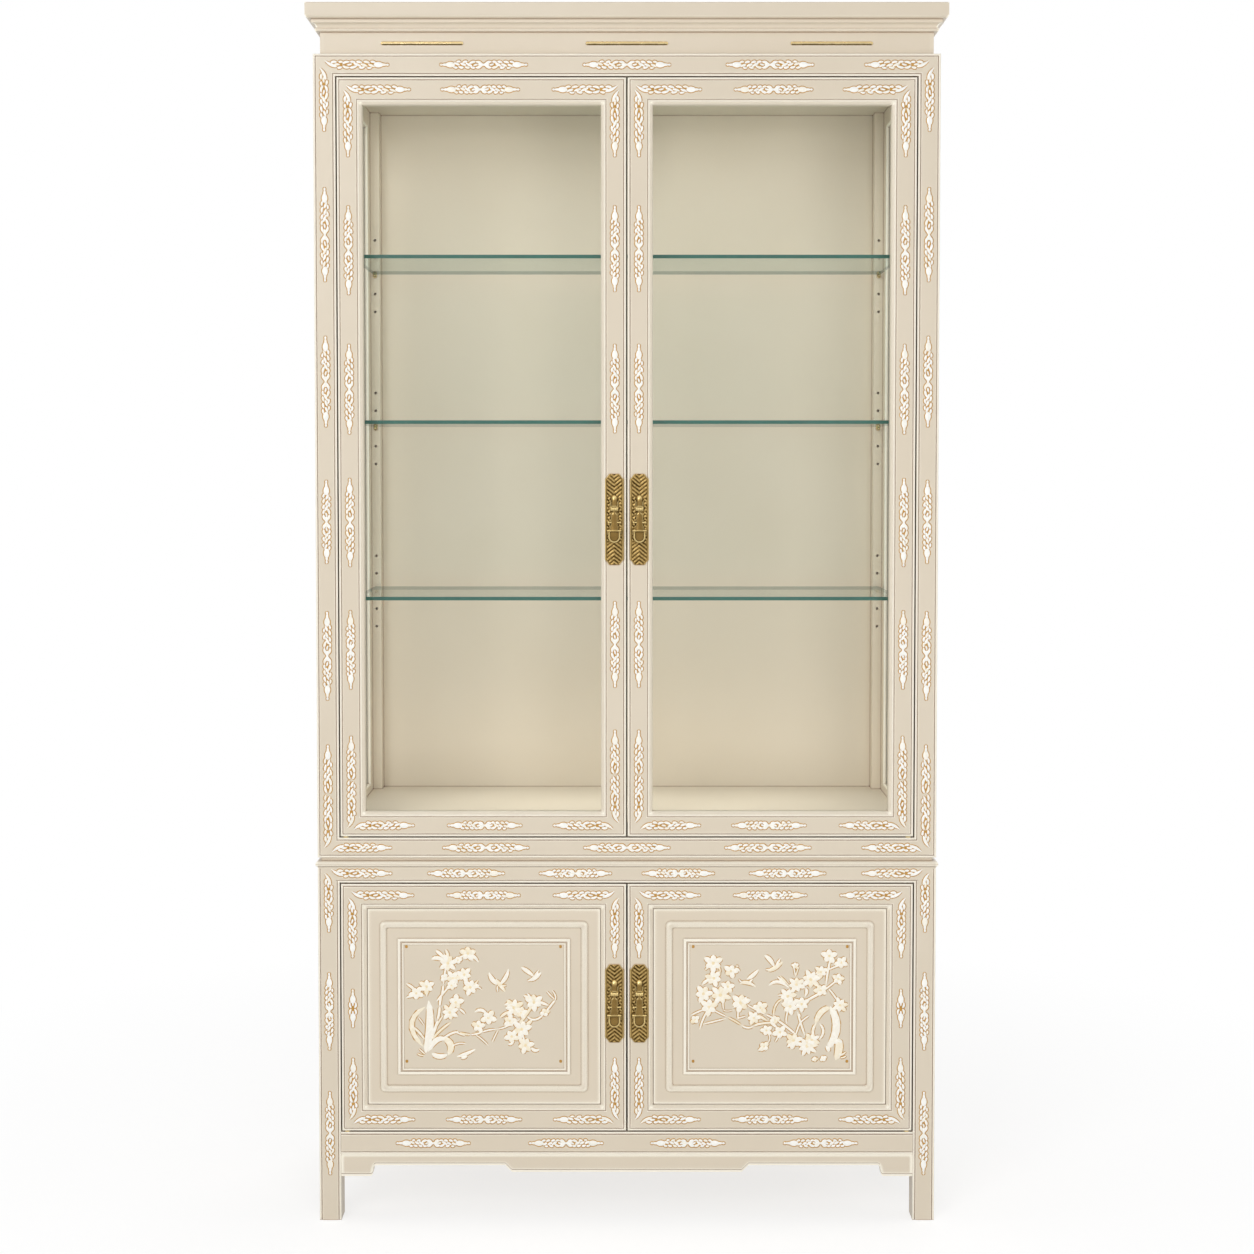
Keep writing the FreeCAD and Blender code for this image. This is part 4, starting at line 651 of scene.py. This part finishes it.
def right_tablet():
    """A looped rock and peonies at the right, branches sweeping to the left and across the top, two birds."""
    rock = leaves([
        (98, -3, 124, -40, 92, -78, 7.6), (100, -6, 80, -8, 75, -34, 5.4), (77, -31, 64, -48, 77, -60, 2.6),
        (81, -32, 95, -46, 80, -60, 2.4), (92, -70, 98, -74, 96, -80, 4.0),
        (112, -56, 118, -74, 108, -94, 7.4), (104, -66, 112, -58, 120, -66, 4.2),
        (116, -86, 121, -84, 126, -79, 1.6), (116, -90, 122, -90, 126, -86, 1.4),
    ], 0.3)
    stems = twigs([
        (1.6, (44, -52), (22, -33), (3, -22), (-18, -13), (-40, 0)), (1.5, (58, -54), (50, -32), (45, -12)),
        (1.1, (50, -31), (56, -25), (65, -19)), (1.2, (42, -52), (46, -40), (50, -30)),
        (1.2, (27, -34), (25, -18), (32, -6)), (1.2, (6, -22), (4, 2), (22, 9)),
        (1.5, (8, -31), (-18, -31), (-37, -43), (-57, -28), (-85, -15), (-101, -6)),
        (1.1, (-72, -24), (-92, -29), (-112, -34)), (1.4, (-116, -43), (-113, -26), (-102, -9)),
        (1.2, (-131, -19), (-120, -13), (-106, -8)), (1.2, (-53, -26), (-54, -14), (-50, 2)),
        (1.0, (-78, 10), (-78, -4), (-76, -14), (-60, -10)), (1.0, (-88, 64), (-78, 57), (-86, 48)),
        (1.0, (-54, -24), (-46, -22), (-40, -20)), (1.8, (52, 1), (78, 15), (95, 27), (113, 42)),
        (1.5, (92, 30), (94, 54), (100, 78)), (1.2, (96, 57), (106, 62), (118, 66)),
        (1.3, (96, 26), (105, 16), (115, 0)), (1.2, (84, 52), (78, 48), (68, 42)),
        (1.0, (-6, -46), (4, -54), (-4, -66)), (1.0, (16, -48), (12, -58), (8, -64)),
        (0.9, (41, 46), (41, 54), (38, 64)), (0.9, (42, 46), (44, 54), (47, 62)),
    ])
    flowers = star_blossoms([
        (61, -70, 17, 9, 0.1), (69, -60, 13, 7, 0.5), (39, -61, 14, 6, 0.3), (74, -92, 5, 4, 0.2),
        (88, -91, 6, 4, 0.6), (-101, -5, 15, 6, 0.4), (-124, -26, 8, 4, 0.7), (-110, 17, 15, 6, 0.1),
        (-82, 15, 17, 7, 0.6), (-70, 29, 11, 5, 0.2), (-94, 68, 16, 6, 0.5), (-65, 55, 12, 5, 0.0),
        (-93, 43, 14, 6, 0.8), (-49, 2, 16, 6, 0.3), (-16, -6, 12, 5, 0.5), (-27, -23, 12, 6, 0.1),
        (-6, -44, 10, 5, 0.6), (16, -47, 12, 5, 0.9), (-10, -71, 9, 4, 0.8), (8, -26, 8, 4, 0.3),
        (97, 80, 13, 5, 0.3), (117, 69, 11, 5, 0.9), (112, 42, 10, 5, 0.1), (84, 54, 11, 6, 0.4),
        (67, 41, 16, 7, 0.2), (43, 32, 14, 7, 0.6), (83, 23, 11, 5, 0.7), (115, -2, 13, 7, 0.1),
        (52, 0, 13, 6, 0.5), (29, 13, 14, 6, 0.2), (33, -4, 14, 6, 0.7), (41, 64, 6, 5, 0.4),
    ])
    sprays = leaves([
        (-3, 30, 12, 46, 32, 26, 3.2), (11, 46, 19, 40, 28, 29, 2.2), (15, 48, 24, 38, 32, 30, 1.8),
        (58, 26, 63, 22, 57, 12, 3.0), (-108, 56, -104, 60, -98, 66, 1.8), (-58, 60, -53, 58, -50, 54, 2.4),
        (-57, 64, -54, 62, -52, 64, 1.6), (-112, 32, -108, 38, -98, 42, 3.0),
        (-62, -6, -54, -4, -48, 2, 1.8), (-38, 12, -44, 8, -49, 2, 2.0), (-20, -18, -12, -24, -4, -28, 2.6),
        (0, -30, 6, -34, 12, -40, 3.0), (28, -72, 33, -68, 38, -62, 2.8), (34, -76, 37, -70, 40, -62, 2.0),
        (-20, -78, -15, -75, -10, -71, 2.4), (12, 14, 20, 16, 28, 13, 1.9),
        (46, -16, 50, -18, 48, -24, 2.2),
    ])
    birds = leaves([
        (-39, 41, -28, 46, -19, 58, 3.8), (-50, 34, -38, 40, -23, 28, 3.6),
        (-36, 34, -33, 38, -28, 42, 1.8), (-46, 36, -50, 38, -52, 42, 1.4), (-10, 81, 1, 76, 7, 61, 4.2),
        (-5, 55, 9, 58, 21, 71, 4.0), (9, 62, 12, 69, 17, 76, 2.2), (-8, 57, -3, 57, 3, 58, 1.6),
    ])
    return np.concatenate([rock, stems, sprays, flowers, birds, STUDS])


# Pull plates


PLATE_THICK = 2.0
NOTCH_X = 6.6
NOTCH_Z = 8.0
GROOVE_IN = 2.3
HERRINGBONE = 6.6
HERRINGBONE_REACH = 40.0


def engraved_plate(name, body, node_name, depth, material):
    """The cut face of a pull plate. Across (s) and up (w) run over the notched outline; a groove follows the
    edge, herringbone cuts fill both ends, and crossed waves give the middle its matted ground."""
    low, high = (np.array(corner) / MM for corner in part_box(node_name))
    centre = (low + high) / 2
    half_w, _, half_h = (high - low) / 2
    w = np.linspace(-half_h, half_h, 297)[:, None]
    s = np.linspace(-1.0, 1.0, 65)[None, :]
    into = np.clip((np.abs(w) - (half_h - NOTCH_Z)) / NOTCH_Z, 0.0, 1.0)
    half = half_w - NOTCH_X * into ** 0.8
    x = half * s
    edge = half - np.abs(x)
    groove = np.exp(-((edge - GROOVE_IN) / 0.6) ** 2)
    reach = np.clip((np.abs(w) - (half_h - HERRINGBONE_REACH)) / 6.0, 0.0, 1.0)
    bone = 0.5 + 0.5 * np.cos(2 * np.pi * (np.abs(x) * 0.8 - np.abs(w)) / HERRINGBONE)
    waves = np.sin(x * 1.1 + 1.5 * np.sin(w * 0.6)) + np.sin(w * 1.2 + 1.9 * np.sin(x * 0.5))
    ground = 0.5 + 0.35 * waves
    field = np.clip((edge - 2.6) / 0.8, 0.0, 1.0)
    pattern = reach * (0.8 * bone + 0.2 * ground) + (1 - reach) * ground
    cut = np.clip(np.maximum(groove, field * pattern), 0.0, 1.0)
    border = np.clip(edge / 0.9, 0.0, 1.0) * np.clip((half_h - np.abs(w)) / 0.9, 0.0, 1.0)
    height = (0.06 + depth / MM * (1 - cut)) * border
    grid = np.stack([(centre[0] + x) * MM, FACE_Y - (PLATE_THICK + height) * MM,
                     np.broadcast_to((centre[2] + w) * MM, x.shape)], axis=-1)
    return sheet_piece(name, grid[None, :, ::-1], body, material, {"cut": cut[None, :, ::-1]})


# Operators


def dress(nodes, material):
    """Puts one material on CAD nodes."""
    for name in nodes:
        mesh = frame["nodes"][name].data
        mesh.materials.clear()
        mesh.materials.append(material)


def slot_nodes(slot):
    return [part["node"] for part in frame["record"]["subparts"] if part["material_slot"] == slot]


class CABINET_OT_lacquer(bpy.types.Operator):
    """Lacquer on the case, doors and cornice"""

    bl_idname = "cabinet.lacquer"
    bl_label = "Lacquered wood"

    def execute(self, context):
        finish = context.scene.cabinet_finish
        nodes = [*slot_nodes("cream_lacquer"), "locating_plinth"]
        cornice = ["cornice_mouldings", "cornice_cap"]
        moulded = ["base_door_left_panel", "base_door_right_panel", "base_side_panels", "base_aprons"]
        dress(nodes, lacquer_material("cream_lacquer_glazed_with_painted_shade_and_highlight", finish, 0.005, 0.06))
        dress(cornice, lacquer_material("cream_lacquer_on_cornice", finish, 0.0018, 0.06))
        # this variant paints the highlight over the crests of the panel mouldings and aprons as well
        dress(moulded, lacquer_material("cream_lacquer_with_painted_highlight_on_mouldings", finish, 0.0065, 0.9))
        return {"FINISHED"}


class CABINET_OT_inner_wood(bpy.types.Operator):
    """Plain sealed wood inside and behind"""

    bl_idname = "cabinet.inner_wood"
    bl_label = "Inner wood"

    def execute(self, context):
        nodes = [name for name in slot_nodes("plain_wood") if name != "locating_plinth"]
        dress(nodes, poplar_material("poplar_sealed", context.scene.cabinet_finish.poplar))
        return {"FINISHED"}


class CABINET_OT_glass(bpy.types.Operator):
    """Panes of the doors and sides, and the shelves"""

    bl_idname = "cabinet.glass"
    bl_label = "Glass"

    def execute(self, context):
        shelves = [name for name in slot_nodes("clear_glass") if name.startswith("glass_shelf")]
        for name in slot_nodes("clear_glass"):
            frame["nodes"][name].visible_shadow = False
        dress(slot_nodes("clear_glass"), pane_material())
        dress(shelves, shelf_material(context.scene.cabinet_finish))
        return {"FINISHED"}


class CABINET_OT_brass(bpy.types.Operator):
    """Pulls, pins, bushes and the strips on the frieze"""

    bl_idname = "cabinet.brass"
    bl_label = "Brass"

    def execute(self, context):
        finish = context.scene.cabinet_finish
        # cast brass of the pulls, with painted highlight and painted shade
        cast = brass_material("brass_cast_with_painted_light", finish, finish.brass_cast, 0.2, False)
        drawn = brass_material("brass_drawn", finish, finish.brass_pale, 0.2, False)
        dress(slot_nodes("aged_brass"), cast)
        dress(["frieze_brass_strips", "shelf_pins"], drawn)
        return {"FINISHED"}


class CABINET_OT_scroll_inlay(bpy.types.Operator):
    """Scroll ornaments of shell on rails, posts and stiles"""

    bl_idname = "cabinet.scroll_inlay"
    bl_label = "Scroll inlay"

    def execute(self, context):
        finish = context.scene.cabinet_finish
        sizes = context.scene.cabinet_inlay
        shell = shell_material("mother_of_pearl", finish.pearl, finish.pearl_warm, finish.pearl_sea)
        materials = [shell, gilt_material(finish)]
        left = ornament_rows(CASE_RUNS)
        sets = [("case", "cabinet", np.concatenate([left, mirrored(left, 0), ornament_rows(MIDDLE_RUNS)]))]
        for kind, runs in (("glass_door_", GLASS_DOOR_RUNS), ("base_door_", BASE_DOOR_RUNS)):
            left = ornament_rows(runs)
            for side, rows in (("left", left), ("right", mirrored(left, 0))):
                sets.append((kind + side, kind + side, rows))
        for name, body, rows in sets:
            inlay_pieces(name + "_scroll", rows, body, FACE_Y, sizes.relief, sizes.gilding, materials)
        return {"FINISHED"}


class CABINET_OT_tablets(bpy.types.Operator):
    """Flowers, rocks and birds of shell on the door tablets"""

    bl_idname = "cabinet.tablets"
    bl_label = "Tablet inlay"

    def execute(self, context):
        sizes = context.scene.cabinet_inlay
        finish = context.scene.cabinet_finish
        shell = shell_material("bone_and_shell", finish.bone, finish.bone_warm, finish.pearl)
        materials = [shell, bpy.data.materials["gilding_on_gesso"]]
        for side, sign, drawing in (("left", -1, left_tablet()), ("right", 1, right_tablet())):
            rows = moved(drawing, 0.0, (sign * TABLET_X, TABLET_Z))
            door = "base_door_" + side
            inlay_pieces(door + "_tablet", rows, door, PANEL_Y, sizes.tablet_relief, sizes.tablet_gilding,
                         materials)
        return {"FINISHED"}


class CABINET_OT_dust_strip(bpy.types.Operator):
    """Dark strip in the meeting edge of the left glass door"""

    bl_idname = "cabinet.dust_strip"
    bl_label = "Dust strip"

    def execute(self, context):
        low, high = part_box("glass_door_left_stiles")
        stained = poplar_material("poplar_stained_dark", context.scene.cabinet_finish.stain)
        across = (high.x - 0.4 * MM, high.x + 1.9 * MM)
        deep = (FACE_Y + 4.0 * MM, FACE_Y + 8.0 * MM)
        tall = (low.z + 3.0 * MM, high.z - 3.0 * MM)
        upright_strip("glass_door_left_dust_strip", *across, *deep, *tall,
                      "glass_door_left", stained, "plain_wood")
        return {"FINISHED"}


class CABINET_OT_pulls(bpy.types.Operator):
    """Engraved faces of the pull plates"""

    bl_idname = "cabinet.pulls"
    bl_label = "Pull plates"

    def execute(self, context):
        finish = context.scene.cabinet_finish
        depth = context.scene.cabinet_inlay.engraving
        material = brass_material("brass_engraved", finish, finish.brass, 0.26, True)
        for door in ("glass_door_left", "glass_door_right", "base_door_left", "base_door_right"):
            engraved_plate(door + "_pull_engraving", door, door + "_pull_plate", depth, material)
        return {"FINISHED"}


def soft_lamp(name, place, target, size, watts, spread=180.0):
    """A broad lamp at a place, turned to a target; size is across and along, spread is in degrees."""
    lamp = bpy.data.lights.new(name, "AREA")
    lamp.shape = "RECTANGLE"
    lamp.size, lamp.size_y = size
    lamp.energy = watts
    lamp.spread = math.radians(spread)
    obj = bpy.data.objects.new(name, lamp)
    bpy.context.scene.collection.objects.link(obj)
    x, y, z = np.array(place) - np.array(target)
    obj.location = place
    obj.rotation_euler = (math.atan2(math.hypot(x, y), z), 0.0, math.atan2(x, -y))
    return obj


def seen_rays(tree):
    """1 for rays that show the backdrop: from the camera, in gloss or through glass."""
    path = node(tree, "ShaderNodeLightPath").outputs
    gloss = maths(tree, "MAXIMUM", path["Is Camera Ray"], path["Is Glossy Ray"])
    return maths(tree, "MAXIMUM", gloss, path["Is Transmission Ray"])


class CABINET_OT_stage(bpy.types.Operator):
    """Pale floor, soft light and the camera"""

    bl_idname = "cabinet.stage"
    bl_label = "Stage"

    def execute(self, context):
        settings = context.scene.cabinet_stage
        # white studio paper: it keeps the cabinet's soft shadow and is otherwise as white as the backdrop
        mat, tree = blank_material("studio_floor_paper")
        plain = node(tree, "ShaderNodeBsdfDiffuse", {"Color": linear("#E6E6E4")})
        shade = node(tree, "ShaderNodeBsdfDiffuse", {"Color": (0.4, 0.4, 0.4, 1.0)})
        glow = node(tree, "ShaderNodeEmission", {"Color": (1.0, 1.0, 1.0, 1.0), "Strength": 0.72})
        near = node(tree, "ShaderNodeAddShader", {0: shade.outputs[0], 1: glow.outputs[0]})
        away = node(tree, "ShaderNodeVectorMath", {0: object_place(tree)}, operation="LENGTH")
        fade = ranged(tree, away.outputs["Value"], 0.8, 1.8, 0.0, 1.0)
        white = node(tree, "ShaderNodeEmission", {"Color": (1.0, 1.0, 1.0, 1.0), "Strength": 1.0})
        seen = node(tree, "ShaderNodeMixShader", {0: fade, 1: near.outputs[0], 2: white.outputs[0]})
        both = node(tree, "ShaderNodeMixShader", {0: seen_rays(tree), 1: plain.outputs[0], 2: seen.outputs[0]})
        node(tree, "ShaderNodeOutputMaterial", {"Surface": both.outputs[0]})
        reach = 14.0
        corners = [(-reach, -reach, 0), (reach, -reach, 0), (reach, reach, 0), (-reach, reach, 0)]
        mesh = bpy.data.meshes.new("studio_floor")
        mesh.from_pydata(corners, [], [(0, 1, 2, 3)])
        mesh.materials.append(mat)
        floor = bpy.data.objects.new("studio_floor", mesh)
        context.scene.collection.objects.link(floor)

        world = bpy.data.worlds.new("studio_sky")
        context.scene.world = world
        world.use_nodes = True
        tree = world.node_tree
        tree.nodes.clear()
        level = ranged(tree, seen_rays(tree), 0.0, 1.0, settings.sky, 1.0)
        sky = node(tree, "ShaderNodeBackground", {"Color": (1.0, 1.0, 1.0, 1.0), "Strength": level})
        node(tree, "ShaderNodeOutputWorld", {"Surface": sky.outputs[0]})

        target = (0.0, 0.0, 1.05)
        below = (0.0, -0.02, 0.0)
        strip = (0.8, 0.2)
        low_case = settings.case * 0.9
        soft_lamp("key_lamp", (-2.1, -4.6, 3.2), target, (2.4, 2.4), settings.key)
        soft_lamp("back_lamp", (1.4, 4.2, 3.0), target, (3.0, 3.0), settings.back)
        hidden = [soft_lamp("side_lamp_left", (-4.4, -0.1, 1.9), target, (2.2, 2.2), settings.side),
                  soft_lamp("side_lamp_right", (4.4, -0.1, 1.9), target, (2.2, 2.2), settings.side),
                  soft_lamp("front_lamp", (0.6, -4.6, 0.5), (0.0, 0.0, 0.6), (2.5, 2.5), settings.front),
                  soft_lamp("case_lamp_high", (0.0, -0.02, 1.86), below, strip, settings.case),
                  soft_lamp("case_lamp_low", (0.0, -0.02, 0.99), below, strip, low_case, 95.0)]
        for lamp in hidden:
            lamp.visible_camera = False
            lamp.visible_glossy = False

        lens = bpy.data.cameras.new("camera")
        lens.sensor_width = 36.0
        lens.lens = settings.lens
        lens.shift_x = 0.0001
        lens.shift_y = -0.066
        camera = bpy.data.objects.new("camera", lens)
        context.scene.collection.objects.link(camera)
        camera.location = (0.0, FACE_Y - settings.distance, settings.height)
        camera.rotation_euler = (math.pi / 2 - settings.tilt, 0.0, 0.0)
        context.scene.camera = camera
        context.scene.view_settings.view_transform = "Standard"
        return {"FINISHED"}


OPERATORS = [
    CABINET_OT_lacquer,
    CABINET_OT_inner_wood,
    CABINET_OT_glass,
    CABINET_OT_brass,
    CABINET_OT_scroll_inlay,
    CABINET_OT_tablets,
    CABINET_OT_dust_strip,
    CABINET_OT_pulls,
    CABINET_OT_stage,
]


class CABINET_PT_sidebar(bpy.types.Panel):
    bl_idname = "CABINET_PT_sidebar"
    bl_label = "Cabinet"
    bl_space_type = "VIEW_3D"
    bl_region_type = "UI"
    bl_category = "Cabinet"

    def draw(self, context):
        for operator in OPERATORS:
            self.layout.operator(operator.bl_idname)
        for key in GROUPS:
            group = getattr(context.scene, key)
            for setting in group.__annotations__:
                self.layout.prop(group, setting)


GROUPS = {"cabinet_finish": CabinetFinish, "cabinet_inlay": CabinetInlay, "cabinet_stage": CabinetStage}
CLASSES = [*GROUPS.values(), *OPERATORS, CABINET_PT_sidebar]


def register():
    for cls in CLASSES:
        bpy.utils.register_class(cls)
    for key, cls in GROUPS.items():
        setattr(bpy.types.Scene, key, bpy.props.PointerProperty(type=cls))


def unregister():
    for key in GROUPS:
        delattr(bpy.types.Scene, key)
    for cls in reversed(CLASSES):
        bpy.utils.unregister_class(cls)


def main():
    register()
    bpy.ops.cabinet.lacquer()
    bpy.ops.cabinet.inner_wood()
    bpy.ops.cabinet.glass()
    bpy.ops.cabinet.brass()
    bpy.ops.cabinet.scroll_inlay()
    bpy.ops.cabinet.tablets()
    bpy.ops.cabinet.dust_strip()
    bpy.ops.cabinet.pulls()
    bpy.ops.cabinet.stage()


if __name__ == "__main__":
    main()
